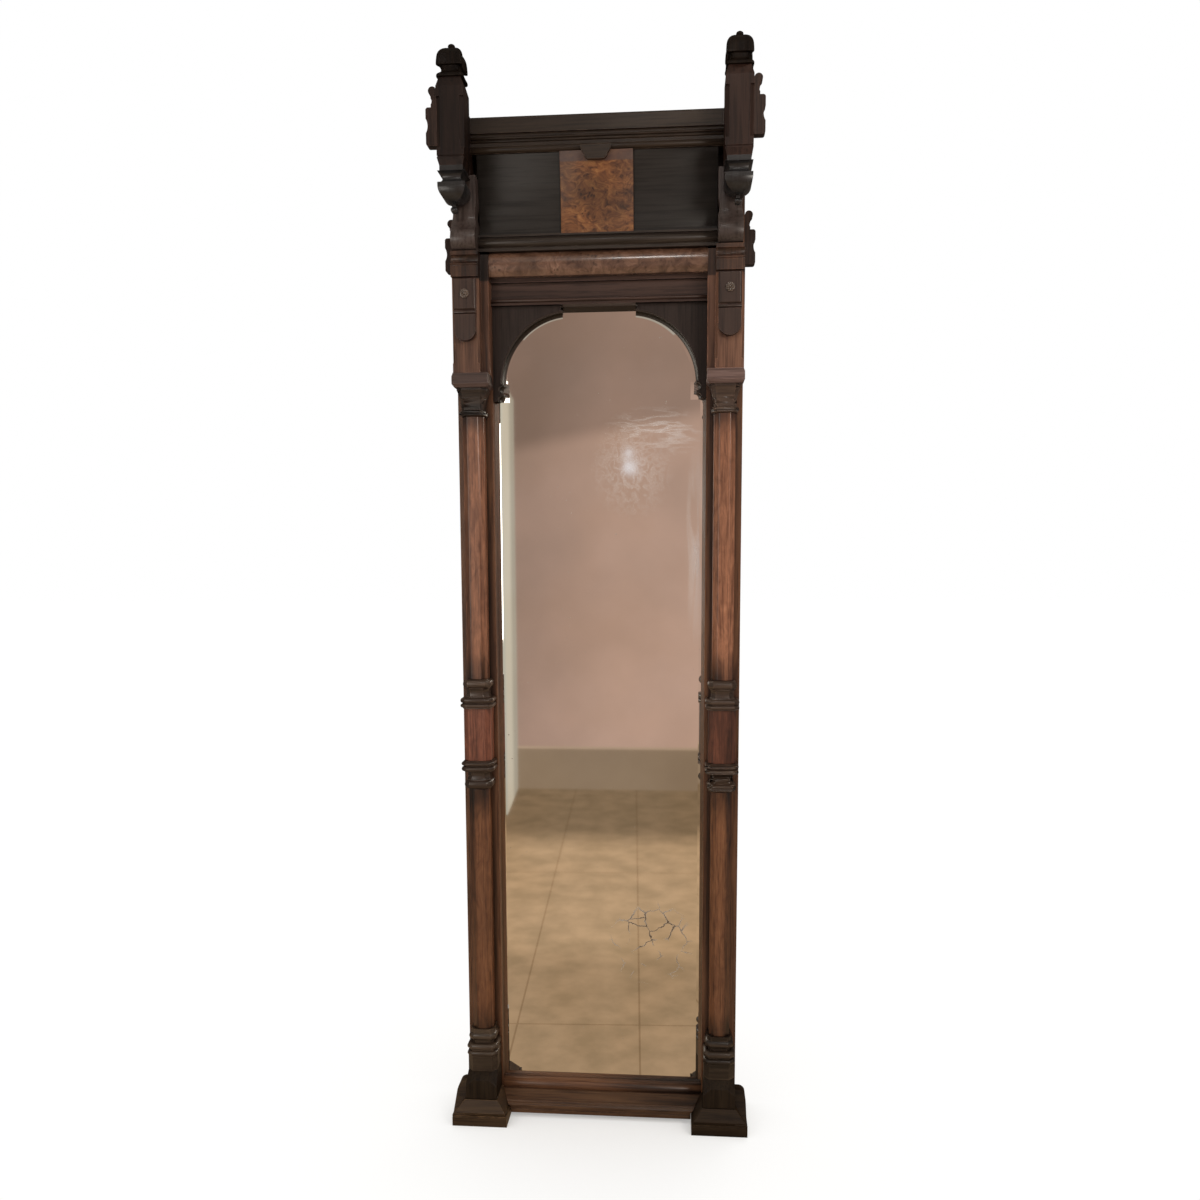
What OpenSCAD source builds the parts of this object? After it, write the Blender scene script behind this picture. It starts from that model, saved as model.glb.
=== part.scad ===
// Pier mirror: a tall walnut frame on two feet, with engaged eight-sided columns, consoles and posts at the
// sides, an arched and bevelled glass between them, and a coved head under a cornice.
// Sizes are in millimetres. The back lies on one plane, the front faces -Y, and the floor is Z = 0.

/* [Glass] */
// width of the glass seen between the stiles
sight_w = 480; // [440:2:520]
// thickness of the mirror glass
glass_t = 6; // [5:0.5:8]
// width of the bevel worked along the edge of the glass
bevel_w = 13; // [10:1:16]
// drop of the bevel at the edge of the glass
bevel_drop = 2; // [1:0.5:2.5]
// how far the glass runs on behind the edge of the frame
glass_lap = 7; // [5:1:8]

/* [Stiles] */
// width of each upright stile
stile_w = 80; // [76:1:84]
// depth of each stile from the wall to its front face
stile_d = 58; // [56:1:62]
// thickness of the lip of the frame in front of the glass
lip_t = 22; // [18:1:24]
// depth of the seat for the back boards
board_t = 12; // [9:1:14]
// width of the seat for the back boards beyond the sight edge
board_lap = 22; // [16:1:26]

/* [Columns] */
// width of the shaft across its flat sides
shaft_w = 48; // [44:1:52]
// width cut off each corner of the shaft
shaft_cut = 12; // [10:1:13]
// distance of the column axis in front of the wall
axis_d = 76; // [74:1:80]
// width of the middle die between the two collars
waist_w = 62; // [58:1:66]
// width of the narrow rings of the collars
ring_w = 65; // [63:1:68]
// width of the broad ribbed rings of the collars
rib_w = 76; // [72:1:78]
// height of the lower shaft
lower_shaft_h = 582; // [540:2:620]
// height of the middle die
waist_h = 122; // [100:2:140]
// height of the upper shaft
upper_shaft_h = 590; // [560:2:620]

/* [Collars and capitals] */
// height of the narrow ring of each collar
ring_h = 22; // [18:1:26]
// height of the hollow of each collar
hollow_h = 20; // [16:1:22]
// height of the broad ribbed ring of each collar
rib_h = 25; // [22:1:28]
// height of the ring under the capital
necking_h = 14; // [12:1:18]
// height of the flared part of the capital
capital_h = 47; // [42:1:52]
// width of the capital under the abacus
capital_w = 68; // [66:1:72]
// height of the abacus over the capital
abacus_h = 31; // [26:1:36]
// width of the abacus
abacus_w = 82; // [78:1:84]

/* [Feet] */
// width of each foot block
foot_w = 129; // [124:1:134]
// depth of each foot block from the wall
foot_d = 155; // [150:1:162]
// height of the foot block
foot_h = 26; // [22:1:30]
// height of the sloped moulding over the foot block
skirt_h = 28; // [24:1:32]
// width of the plinth block
plinth_w = 74; // [70:1:78]
// height of the plinth block up to its sloped corners
plinth_h = 46; // [40:1:52]
// distance of the plinth front from the wall
plinth_d = 131; // [126:1:136]
// height of the sloped top of the plinth
broach_h = 14; // [10:1:18]
// width of the cheek that stands out beyond the stile at each foot
cheek_w = 23; // [18:1:23]
// height of the cheek above the foot block
cheek_h = 50; // [44:1:56]

/* [Column bases] */
// height of the plain neck over the plinth
neck_h = 34; // [28:1:40]
// width of the neck over the plinth
neck_w = 70; // [66:1:72]
// height of the larger base ring
base_ring_h = 32; // [28:1:36]
// width of the larger base ring
base_ring_w = 74; // [70:1:76]
// height of the groove between the base rings
base_groove_h = 6; // [4:1:8]
// height of the smaller base ring
top_ring_h = 28; // [24:1:32]
// width of the smaller base ring
top_ring_w = 66; // [62:1:68]

/* [Pilasters and consoles] */
// height of the pilaster over the abacus
pilaster_h = 202; // [190:1:214]
// distance of the pilaster front from the wall
pilaster_d = 117; // [114:1:122]
// distance of the stepped back part of the pilaster from the wall
backing_d = 92; // [86:1:98]
// width of the front part of the pilaster
pilaster_w = 60; // [56:1:62]
// distance of the pilaster axis outside the column axis
pilaster_out = 7; // [5:1:9]
// size of the flats along the front corners of the pilaster
pilaster_cut = 5; // [3:1:7]
// height of the stepped bands under the console
band_h = 54; // [48:1:60]
// width of the console
console_w = 53; // [48:1:56]
// height of the console from the bands to the underside of the post
console_h = 158; // [152:1:166]
// reach of the console bulge in front of the pilaster
console_out = 20; // [14:1:26]
// radius of the console bulge
bulge_r = 26; // [22:1:30]
// radius of the hollow over the console bulge
hollow_r = 40; // [34:1:46]
// width of the tablet on the pilaster
tablet_w = 50; // [46:1:52]
// height of the tablet on the pilaster
tablet_h = 68; // [62:1:72]
// thickness of the tablet on the pilaster
tablet_t = 9; // [6:1:12]
// height of the ridge bar under the tablet
ridge_h = 10; // [8:1:12]
// height of the teardrop under the ridge bar
teardrop_h = 56; // [50:1:60]
// thickness of the teardrop
teardrop_t = 12; // [8:1:14]
// diameter of the turned buttons on the tablets
button_d = 20; // [16:1:24]

/* [Posts and finials] */
// width of each post
post_w = 58; // [54:1:60]
// distance of the post front from the wall
post_d = 180; // [174:1:186]
// depth of the part of the post that stands clear over the cornice
post_t = 62; // [58:1:66]
// height of the post
post_h = 176; // [168:1:184]
// distance of the post axis outside the column axis
post_out = 20; // [18:1:22]
// size of the stopped flats on the front corners of the post
post_cut = 8; // [5:1:9]
// height of the sloped cap of the post
cap_h = 20; // [16:1:24]
// how far the sloped cap draws in on each side
cap_in = 6; // [4:0.5:7]
// height of the drawn-in foot of the post
taper_h = 14; // [10:1:18]
// how far the foot of the post draws in on each side
taper_in = 4; // [3:0.5:6]
// height of the drop that hangs under the post
drop_h = 90; // [86:1:94]
// height of the cushion under the finial
cushion_h = 13; // [10:1:15]
// width of the finial head
finial_w = 58; // [54:1:60]
// height of the finial over its cushion
finial_h = 62; // [60:1:66]
// height of the upper ear on the post
upper_ear_h = 118; // [112:1:124]
// reach of the upper ear beyond the post
upper_ear_w = 24; // [22:1:26]
// height of the lower ear on the stile
lower_ear_h = 113; // [106:1:118]
// reach of the lower ear beyond the stile
lower_ear_w = 24; // [20:1:28]
// thickness of the ears
ear_t = 22; // [16:1:24]

/* [Head] */
// height of the plain frieze over the arch
frieze_h = 48; // [44:1:52]
// height of the burr roll
roll_h = 50; // [46:1:54]
// height of the small bead under the roll
bead_h = 10; // [8:1:12]
// height of the shelf moulding
shelf_h = 34; // [30:1:38]
// distance of the shelf front from the wall
shelf_d = 100; // [96:1:106]
// height of the coved panel
cove_h = 164; // [156:1:172]
// thickness of the coved panel at its foot
cove_t = 20; // [16:1:22]
// height of the cornice board
cornice_h = 74; // [68:1:80]
// distance of the cornice front from the wall
cornice_d = 112; // [108:1:116]
// width of the burr tablet in the coved panel
centre_w = 158; // [140:2:170]
// thickness of the burr tablet
centre_t = 6; // [4:0.5:8]
// width of the small drop in the middle of the cornice
tab_w = 64; // [56:1:72]
// height of the small drop in the middle of the cornice
tab_h = 22; // [18:1:26]

/* [Arch] */
// radius of the quarter rounds of the arch
arch_r = 157; // [150:1:164]
// half width of the flat top of the arch
arch_flat = 82; // [78:1:90]
// height of the small step between the quarter round and the flat top
arch_step = 12; // [10:1:14]
// how far the spandrels lie behind the front of the stiles
spandrel_set = 4; // [2:1:6]
// distance from the stile to the point of the arch foot
thorn_in = 22; // [20:1:26]

/* [Bottom rail] */
// height of the underside of the rail over the floor
rail_z = 12; // [8:1:16]
// height of the lower sight edge over the floor
sill_z = 67; // [64:1:72]
// distance of the bottom moulding front from the wall
sill_d = 108; // [104:1:112]
// depth of the bottom rail behind the moulding
rail_d = 60; // [58:1:64]
// radius of the rounded front of the bottom rail
rail_r = 16; // [12:1:18]

/* [Back] */
// length of the glazing blocks
block_l = 60; // [40:2:80]
// head diameter of the back screws
screw_d = 9; // [7:1:10]
// clearance between loose pieces and their seats
gap = 1; // [0.5:0.5:1.5]

/* [Hidden] */
$fn = 96;
// depth of the whole object and its back plane
total_d = post_d;
back_y = total_d / 2;
// column axis, stile faces and the sides of the sight opening
sight_x = sight_w / 2;
outer_x = sight_x + stile_w;
col_x = sight_x + stile_w / 2;
pil_x = col_x + pilaster_out;
post_x = col_x + post_out;
// heights, from the floor up
z_plinth = foot_h + skirt_h;
z_broach = z_plinth + plinth_h;
z_neck = z_broach + broach_h;
z_base = z_neck + neck_h;
z_top_ring = z_base + base_ring_h + base_groove_h;
z_lower = z_top_ring + top_ring_h;
z_collar = z_lower + lower_shaft_h;
collar_h = ring_h + hollow_h + rib_h;
z_waist = z_collar + collar_h;
z_upper_collar = z_waist + waist_h;
z_upper = z_upper_collar + collar_h;
z_capital = z_upper + upper_shaft_h;
z_abacus = z_capital + necking_h + capital_h;
z_pilaster = z_abacus + abacus_h;
z_band = z_pilaster + pilaster_h;
z_console = z_band + band_h;
z_post = z_console + console_h;
z_cushion = z_post + post_h;
z_finial = z_cushion + cushion_h;
// heights of the head, set so that the shelf lines up with the foot of the consoles
z_shelf = z_console + 6;
z_roll = z_shelf - roll_h;
z_bead = z_roll - bead_h;
z_frieze = z_bead - frieze_h;
z_cove = z_shelf + shelf_h;
z_cornice = z_cove + cove_h;
z_head = z_cornice + cornice_h;
// back of the frame's lip, and the front and back faces of the glass whose bevel bears on that lip
lip_d = stile_d - lip_t;
glass_d = lip_d + bevel_drop;
seat_d = glass_d - glass_t;
// slope of the bevel
slope = bevel_drop / bevel_w;
// foot of the back boards and the height of each
back_z = foot_h + 20 + gap;
board_h = (z_cove - back_z) / 3;
// shank of the back screws and where they stand
shank_d = screw_d / 2;
screw_x = sight_x + board_lap - 8;
// the arch: centre of the quarter rounds and its springing
arch_top = z_frieze;
arch_x = sight_x - thorn_in + 4 - arch_r;
arch_z = arch_top - arch_step - arch_r;
thorn_z = arch_z - 38;
// inner faces of the consoles and of the posts, and the front of the consoles behind the drops
console_x = pil_x - console_w / 2;
inner_post_x = post_x - post_w / 2;
console_d = post_d - post_t - gap;
// how far the sides of the console are drawn in, and the rise of the lower ears over its foot
console_sink = 3;
ear_rise = 88;
// height of the plain stops at the ends of the stopped flats, and the width of the small grooves
stop_h = 20;
groove_d = 3;
// corner distance of the eight-sided plan for a given half width
function corner(half) = sqrt(2) * half - shaft_cut / sqrt(2);

// an outline in x and z, run forward from depth d0 to depth d1 in front of the wall
module board(d0, d1) {
  translate([0, back_y - d0, 0])
    rotate([90, 0, 0])
      linear_extrude(d1 - d0)
        children();
}

// an outline in depth and height, run across from x0 to x1
module run(x0, x1) {
  translate([x0, back_y, 0])
    mirror([0, 1, 0])
      rotate([90, 0, 90])
        linear_extrude(x1 - x0)
          children();
}

// an outline in plan (x and depth), run up from z0 to z1
module rise(z0, z1) {
  translate([0, back_y, z0])
    mirror([0, 1, 0])
      linear_extrude(z1 - z0)
        children();
}

// the right-hand piece, or its mirror image on the left
module side(s) {
  mirror([s < 0 ? 1 : 0, 0, 0])
    children();
}

// one direction of an eight-sided moulding: an outline of half width $half, run through the column axis
module sweep(a) {
  rotate([90, 0, a])
    translate([0, 0, -rib_w])
      linear_extrude(2 * rib_w)
        children();
}

// an eight-sided moulding on the column axis, with its back cut flat on the stile
module eight_sided(w) {
  intersection() {
    translate([col_x, back_y - axis_d, 0])
      intersection() {
        sweep(0, $half = w / 2)
          children();
        sweep(90, $half = w / 2)
          children();
        sweep(45, $half = corner(w / 2))
          children();
        sweep(135, $half = corner(w / 2))
          children();
      }
    translate([col_x - rib_w, back_y - stile_d - 2 * rib_w, -neck_h])
      cube([2 * rib_w, 2 * rib_w, z_finial]);
  }
}

// flat band of the current half width from z0 to z1
module band(z0, z1, inset = 0) {
  translate([-$half + inset, z0])
    square([2 * ($half - inset), z1 - z0]);
}

// band with fully rounded edges from z0 to z1
module round_band(z0, z1) {
  band(z0, z1, (z1 - z0) / 2);
  for (s = [-1, 1])
    translate([s * ($half - (z1 - z0) / 2), (z0 + z1) / 2])
      circle(d = z1 - z0);
}

// band with a hollow of the given depth sunk into both edges from z0 to z1
module hollow_band(z0, z1, sink) {
  rise = z1 - z0;
  hollow_r = (rise * rise / 4 + sink * sink) / (2 * sink);
  difference() {
    band(z0, z1);
    for (s = [-1, 1])
      translate([s * ($half + hollow_r - sink), (z0 + z1) / 2])
        circle(r = hollow_r);
  }
}

module foot() {
  color("#2b1c13")
    difference() {
      union() {
        board(0, foot_d)
          difference() {
            translate([col_x - foot_w / 2, 0])
              square([foot_w, foot_h]);
            for (s = [-1, 1])
              translate([col_x + s * foot_w / 2, foot_h - groove_d])
                circle(d = groove_d);
          }
        skirt();
        cheek();
      }
      run(col_x - foot_w / 2 - 1, col_x + foot_w / 2 + 1)
        translate([foot_d, foot_h - groove_d])
          circle(d = groove_d);
    }
}

// sloped moulding that runs round the front and both sides of the foot block
module skirt() {
  in = 5;
  riser = 4;
  intersection() {
    board(rail_d, foot_d)
      polygon([[col_x - foot_w / 2 + in, foot_h], [col_x + foot_w / 2 - in, foot_h],
        [col_x + foot_w / 2 - in, foot_h + riser], [col_x + plinth_w / 2 + 2, z_plinth],
        [col_x - plinth_w / 2 - 2, z_plinth], [col_x - foot_w / 2 + in, foot_h + riser]]);
    run(col_x - foot_w / 2, col_x + foot_w / 2)
      polygon([[rail_d, foot_h], [foot_d - in, foot_h], [foot_d - in, foot_h + riser],
        [plinth_d + 2, z_plinth], [rail_d, z_plinth]]);
  }
}

// cheek beside the plinth, rounded at its outer corner and sloped down to the foot block at the front
module cheek() {
  round_r = 16;
  left = col_x + plinth_w / 2;
  right = outer_x + cheek_w;
  top = foot_h + cheek_h;
  intersection() {
    run(left, right)
      polygon([[stile_d, foot_h], [foot_d - 3, foot_h], [stile_d + 26, top], [stile_d, top]]);
    board(stile_d, foot_d)
      union() {
        translate([left, foot_h])
          square([right - left, cheek_h - round_r]);
        translate([left, foot_h])
          square([right - left - round_r, cheek_h]);
        translate([right - round_r, top - round_r])
          circle(r = round_r);
      }
  }
}

module plinth() {
  reach = plinth_w * 1.2;
  color("#2b1c13")
    intersection() {
      board(stile_d, plinth_d)
        polygon([[col_x - plinth_w / 2, z_plinth], [col_x + plinth_w / 2, z_plinth],
          [col_x + plinth_w / 2, z_broach - 4], [col_x + neck_w / 2, z_neck],
          [col_x - neck_w / 2, z_neck], [col_x - plinth_w / 2, z_broach - 4]]);
      run(col_x - plinth_w, col_x + plinth_w)
        polygon([[stile_d, z_plinth], [plinth_d, z_plinth], [plinth_d - 1, z_broach],
          [axis_d + neck_w / 2, z_neck], [stile_d, z_neck]]);
      translate([col_x, back_y - axis_d, 0])
        intersection_for (a = [45, 135])
          rotate([90, 0, a])
            translate([0, 0, -reach])
              linear_extrude(2 * reach)
                polygon([[-reach, z_plinth], [reach, z_plinth], [reach, z_plinth + 1], [corner(neck_w / 2), z_neck],
                  [-corner(neck_w / 2), z_neck], [-reach, z_plinth + 1]]);
    }
}

module column_base() {
  ring = base_ring_h;
  top = ring + base_groove_h;
  color("#33231a")
    translate([0, 0, z_base])
      union() {
        eight_sided(neck_w)
          band(z_neck - z_base, 2);
        eight_sided(base_ring_w)
          union() {
            round_band(0, 14);
            band(12, 18, 6);
            round_band(16, ring);
          }
        eight_sided(top_ring_w)
          union() {
            band(ring - 2, top + 2, 8);
            round_band(top, top + top_ring_h - 8);
            band(top + top_ring_h - 11, top + top_ring_h, 5);
          }
      }
}

module shaft(z0, z1) {
  color("#6f3b1e")
    eight_sided(shaft_w)
      band(z0, z1);
}

// one collar: narrow ring, hollow and broad ring with two ribs; up is 1 when the broad ring is on top
module collar(z0, up) {
  color("#38271b")
    translate([0, 0, up > 0 ? z0 : z0 + collar_h])
      mirror([0, 0, up > 0 ? 0 : 1])
        union() {
          eight_sided(ring_w)
            round_band(0, ring_h);
          eight_sided(shaft_w + 8)
            hollow_band(ring_h - 2, ring_h + hollow_h + 1, 3);
          eight_sided(rib_w)
            union() {
              round_band(ring_h + hollow_h, ring_h + hollow_h + rib_h / 2);
              band(ring_h + hollow_h + 2, collar_h, 5);
              round_band(collar_h - rib_h / 2 + 1, collar_h - 2);
            }
        }
}

module waist() {
  color("#6b371f")
    eight_sided(waist_w)
      band(z_waist, z_upper_collar);
}

// band that widens upward in a gentle hollow, laid out in even straight steps
module flared_band(z0, z1, flare) {
  steps = 6;
  polygon(concat([for (i = [0 : steps]) [$half - flare * (1 - pow(i / steps, 2)), z0 + (z1 - z0) * i / steps]],
    [for (i = [steps : -1 : 0]) [flare * (1 - pow(i / steps, 2)) - $half, z0 + (z1 - z0) * i / steps]]));
}

module capital() {
  top = necking_h + capital_h;
  color("#3a281c")
    translate([0, 0, z_capital])
      union() {
        eight_sided(shaft_w + 12)
          round_band(0, necking_h);
        eight_sided(capital_w)
          union() {
            flared_band(necking_h - 2, top - 4, (capital_w - shaft_w) / 2);
            band(top - 5, top);
          }
      }
}

module abacus() {
  color("#4a2e1d")
    difference() {
      board(stile_d, axis_d + abacus_w / 2 + 2)
        polygon([[col_x - abacus_w / 2 + 5, z_abacus], [col_x + abacus_w / 2 - 5, z_abacus],
          [col_x + abacus_w / 2, z_abacus + 7], [col_x + abacus_w / 2, z_pilaster - 8],
          [col_x + abacus_w / 2 - 3, z_pilaster], [col_x - abacus_w / 2 + 1, z_pilaster],
          [col_x - abacus_w / 2 + 1, z_pilaster - 8], [col_x - abacus_w / 2, z_abacus + 7]]);
      run(col_x - abacus_w, col_x + abacus_w)
        polygon([[axis_d + abacus_w / 2 + 3, z_abacus - 1], [axis_d + abacus_w / 2 - 4, z_abacus - 1],
          [axis_d + abacus_w / 2 + 2, z_abacus + 7], [axis_d + abacus_w / 2 + 3, z_abacus + 7]]);
    }
}

module pilaster() {
  left = pil_x - pilaster_w / 2;
  right = pil_x + pilaster_w / 2;
  cut = pilaster_cut;
  band_d = pilaster_d + 8;
  color("#51301d")
    union() {
      rise(z_pilaster, z_console)
        translate([sight_x, stile_d])
          square([stile_w, backing_d - stile_d]);
      rise(z_pilaster + stop_h, z_band)
        polygon([[left, backing_d - 1], [left, pilaster_d - cut], [left + cut, pilaster_d],
          [right - cut, pilaster_d], [right, pilaster_d - cut], [right, backing_d - 1]]);
      rise(z_pilaster, z_pilaster + stop_h)
        translate([left, backing_d - 1])
          square([pilaster_w, pilaster_d - backing_d + 1]);
      run(left, right)
        difference() {
          translate([stile_d, z_band])
            square([band_d - stile_d, band_h]);
          translate([band_d + 2, z_band + band_h * 0.68])
            circle(r = band_h * 0.17);
          translate([band_d, z_band + band_h * 0.44])
            circle(d = groove_d);
        }
    }
}

module tablet() {
  top = z_band - 2;
  color("#4a2c1c")
    intersection() {
      board(pilaster_d, pilaster_d + tablet_t)
        translate([pil_x - tablet_w / 2, top - tablet_h])
          square([tablet_w, tablet_h]);
      rise(top - tablet_h, top)
        polygon([[pil_x - tablet_w / 2, pilaster_d], [pil_x - tablet_w / 2, pilaster_d + tablet_t - 3],
          [pil_x - tablet_w / 2 + 3, pilaster_d + tablet_t], [pil_x + tablet_w / 2 - 3, pilaster_d + tablet_t],
          [pil_x + tablet_w / 2, pilaster_d + tablet_t - 3], [pil_x + tablet_w / 2, pilaster_d]]);
      run(pil_x - tablet_w, pil_x + tablet_w)
        polygon([[pilaster_d, top - tablet_h], [pilaster_d + tablet_t - 3, top - tablet_h],
          [pilaster_d + tablet_t, top - tablet_h + 3], [pilaster_d + tablet_t, top - 3],
          [pilaster_d + tablet_t - 3, top], [pilaster_d, top]]);
    }
}

module teardrop() {
  top = z_band - 2 - tablet_h;
  r = tablet_w / 2 - 1;
  color("#4a2c1c")
    union() {
      board(pilaster_d, pilaster_d + tablet_t - 3)
        translate([pil_x - r, top - ridge_h])
          square([2 * r, ridge_h]);
      run(pil_x - tablet_w / 2, pil_x + tablet_w / 2)
        difference() {
          translate([pilaster_d + tablet_t - 3, top - ridge_h / 2])
            circle(d = ridge_h - 2);
          translate([0, top - ridge_h])
            square([pilaster_d, ridge_h]);
        }
      board(pilaster_d, pilaster_d + teardrop_t)
        union() {
          translate([pil_x - r, top - ridge_h - teardrop_h + r])
            square([2 * r, teardrop_h - r]);
          translate([pil_x, top - ridge_h - teardrop_h + r])
            circle(r = r);
        }
    }
}

module console() {
  reach = pilaster_d + console_out - console_d;
  both_r = bulge_r + hollow_r;
  bulge_x = console_d + reach - bulge_r;
  bulge_z = z_console + bulge_r;
  hollow_x = console_d + hollow_r;
  hollow_z = bulge_z + sqrt(both_r * both_r - (both_r - reach) * (both_r - reach));
  waist_r = console_h / 3;
  color("#3d2a1e")
    intersection() {
      run(console_x, console_x + console_w)
        union() {
          translate([stile_d, z_console])
            square([console_d - stile_d, console_h]);
          translate([bulge_x, bulge_z])
            circle(r = bulge_r);
          translate([stile_d, z_console])
            square([bulge_x - stile_d, bulge_r]);
          difference() {
            polygon([[stile_d, bulge_z - 1], [bulge_x, bulge_z - 1], [bulge_x, bulge_z],
              [hollow_x, hollow_z], [stile_d, hollow_z]]);
            translate([hollow_x, hollow_z])
              circle(r = hollow_r);
          }
        }
      board(stile_d, total_d)
        difference() {
          translate([console_x, z_console])
            square([console_w, console_h]);
          for (s = [-1, 1])
            translate([pil_x + s * (console_w / 2 + waist_r - console_sink), z_console + console_h / 2])
              circle(r = waist_r);
        }
    }
}

// outline of the drop under the post, as half widths: a flat collar, a neck, a round cup and a small ball
module drop_outline(half) {
  collar = drop_h * 0.14;
  neck = drop_h * 0.24;
  rim = 7;
  ball = 7;
  translate([-half + taper_in, z_post - collar])
    square([2 * (half - taper_in), collar]);
  difference() {
    translate([-half, z_post - collar - neck])
      square([2 * half, neck + 1]);
    for (s = [-1, 1])
      translate([s * (half + 2), z_post - collar - neck / 2])
        circle(d = neck + 2);
  }
  translate([-half, z_post - collar - neck - rim])
    square([2 * half, rim]);
  intersection() {
    translate([0, z_post - collar - neck - rim])
      circle(r = half);
    translate([-half, z_post - drop_h + ball])
      square([2 * half, drop_h - collar - neck - ball]);
  }
  translate([-ball / 2, z_post - drop_h + ball])
    square([ball, drop_h / 4]);
  translate([0, z_post - drop_h + ball])
    circle(r = ball);
}

module post_drop() {
  color("#2e2018")
    intersection() {
      board(post_d - post_t, post_d)
        translate([post_x, 0])
          drop_outline(post_w / 2);
      run(post_x - post_w / 2, post_x + post_w / 2)
        translate([post_d - post_t / 2, 0])
          drop_outline(post_t / 2);
    }
}

module post() {
  left = post_x - post_w / 2;
  cap_z = z_cushion - cap_h;
  foot_z = z_post + taper_h;
  color("#3a281d")
    union() {
      difference() {
        translate([left, back_y - post_d, foot_z])
          cube([post_w, post_t, cap_z - foot_z]);
        for (s = [-1, 1])
          translate([post_x + s * post_w / 2, back_y - post_d, foot_z + stop_h])
            rotate([0, 0, 45])
              translate([-post_cut / sqrt(2), -post_cut / sqrt(2), 0])
                cube([post_cut * sqrt(2), post_cut * sqrt(2), cap_z - foot_z - 2 * stop_h]);
        run(left - 1, left + post_w + 1)
          translate([post_d, foot_z + groove_d])
            circle(d = groove_d);
        board(post_d - post_t - 1, post_d + 1)
          for (s = [-1, 1])
            translate([post_x + s * post_w / 2, foot_z + groove_d])
              circle(d = groove_d);
      }
      translate([left, back_y - post_d + post_t - 1, z_post])
        cube([post_w, post_d - post_t + 1 - stile_d, z_head - z_post]);
      intersection() {
        board(post_d - post_t, post_d)
          translate([post_x, 0])
            post_ends(post_w / 2, cap_z, foot_z);
        run(left, left + post_w)
          translate([post_d - post_t / 2, 0])
            post_ends(post_t / 2, cap_z, foot_z);
      }
    }
}

// outlines of the sloped cap of the post and of its drawn-in foot, for a given half width
module post_ends(half, cap_z, foot_z) {
  polygon([[-half, cap_z - 1], [half, cap_z - 1], [half, cap_z], [half - cap_in, z_cushion],
    [cap_in - half, z_cushion], [-half, cap_z]]);
  polygon([[taper_in - half, z_post], [half - taper_in, z_post], [half, foot_z], [half, foot_z + 1],
    [-half, foot_z + 1], [-half, foot_z]]);
}

// outline of the finial and its cushion, as half widths: cushion, neck, four-leaved head and ball
module finial_outline() {
  half = finial_w / 2;
  ball = 8;
  neck = 4;
  leaf = finial_h * 0.22;
  head = finial_h - ball;
  translate([-half + cushion_h / 2 + 2, z_cushion])
    square([finial_w - cushion_h - 4, cushion_h]);
  for (s = [-1, 1])
    translate([s * (half - 2 - cushion_h / 2), z_cushion + cushion_h / 2])
      circle(d = cushion_h);
  translate([-half * 0.66, z_finial - 1])
    square([half * 1.32, neck + 4]);
  intersection() {
    translate([0, z_finial + head - half])
      circle(r = half);
    translate([-half, z_finial + head - half])
      square([finial_w, half]);
  }
  translate([-half, z_finial + neck + leaf])
    square([finial_w, head - half - neck - leaf + 1]);
  for (s = [-1, 1])
    translate([s * (half - leaf), z_finial + neck + leaf])
      circle(r = leaf);
  translate([leaf - half, z_finial + neck])
    square([finial_w - 2 * leaf, leaf + 1]);
  translate([0, z_finial + finial_h - ball])
    circle(r = ball);
}

module finial() {
  color("#2b1c13")
    intersection() {
      board(post_d - post_t, post_d)
        translate([post_x, 0])
          finial_outline();
      run(post_x - finial_w / 2, post_x + finial_w / 2)
        translate([post_d - post_t / 2, 0])
          finial_outline();
    }
}

// outline of an ear of the given height and reach: a knob on top, a stepped lobe, a hollow and a lower lobe
module ear_outline(h, w) {
  knob = w * 0.36;
  step = h * 0.35;
  corner_r = w * 0.22;
  hollow = h * 0.24;
  translate([w * 0.38, -knob])
    circle(r = knob);
  difference() {
    union() {
      translate([0, -h])
        square([w * 0.52, h - knob]);
      translate([0, -h + corner_r])
        square([w, h - step - 2 * corner_r]);
      translate([0, -h])
        square([w - corner_r, h - step]);
      for (z = [-step - corner_r, -h + corner_r])
        translate([w - corner_r, z])
          circle(r = corner_r);
    }
    translate([w - 4 + hollow, -h * 0.66])
      circle(r = hollow);
    translate([w * 0.52 + hollow / 3 - 2, -step * 0.72])
      circle(r = hollow / 3);
  }
}

module upper_ear() {
  color("#3c2418")
    board(post_d - 8 - ear_t, post_d - 8)
      translate([post_x + post_w / 2, z_cushion - cap_h + 3])
        ear_outline(upper_ear_h, upper_ear_w);
}

module lower_ear() {
  color("#3c2418")
    board(stile_d - ear_t - 4, stile_d - 4)
      translate([outer_x, z_console + ear_rise])
        ear_outline(lower_ear_h, lower_ear_w);
}

module stile() {
  color("#4a2b1b")
    difference() {
      rise(foot_h, z_head)
        translate([sight_x, 0])
          square([stile_w, stile_d]);
      translate([sight_x - 1, back_y - lip_d, sill_z - glass_lap])
        cube([glass_lap + gap + 1, lip_d + 1, z_frieze + gap + 2 * glass_lap - sill_z]);
      translate([sight_x - 1, back_y - board_t, back_z - gap])
        cube([board_lap + 1, board_t + 1, z_cove - back_z + gap]);
      screw_places()
        cylinder(d = shank_d, h = board_t + 10);
    }
}

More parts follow.
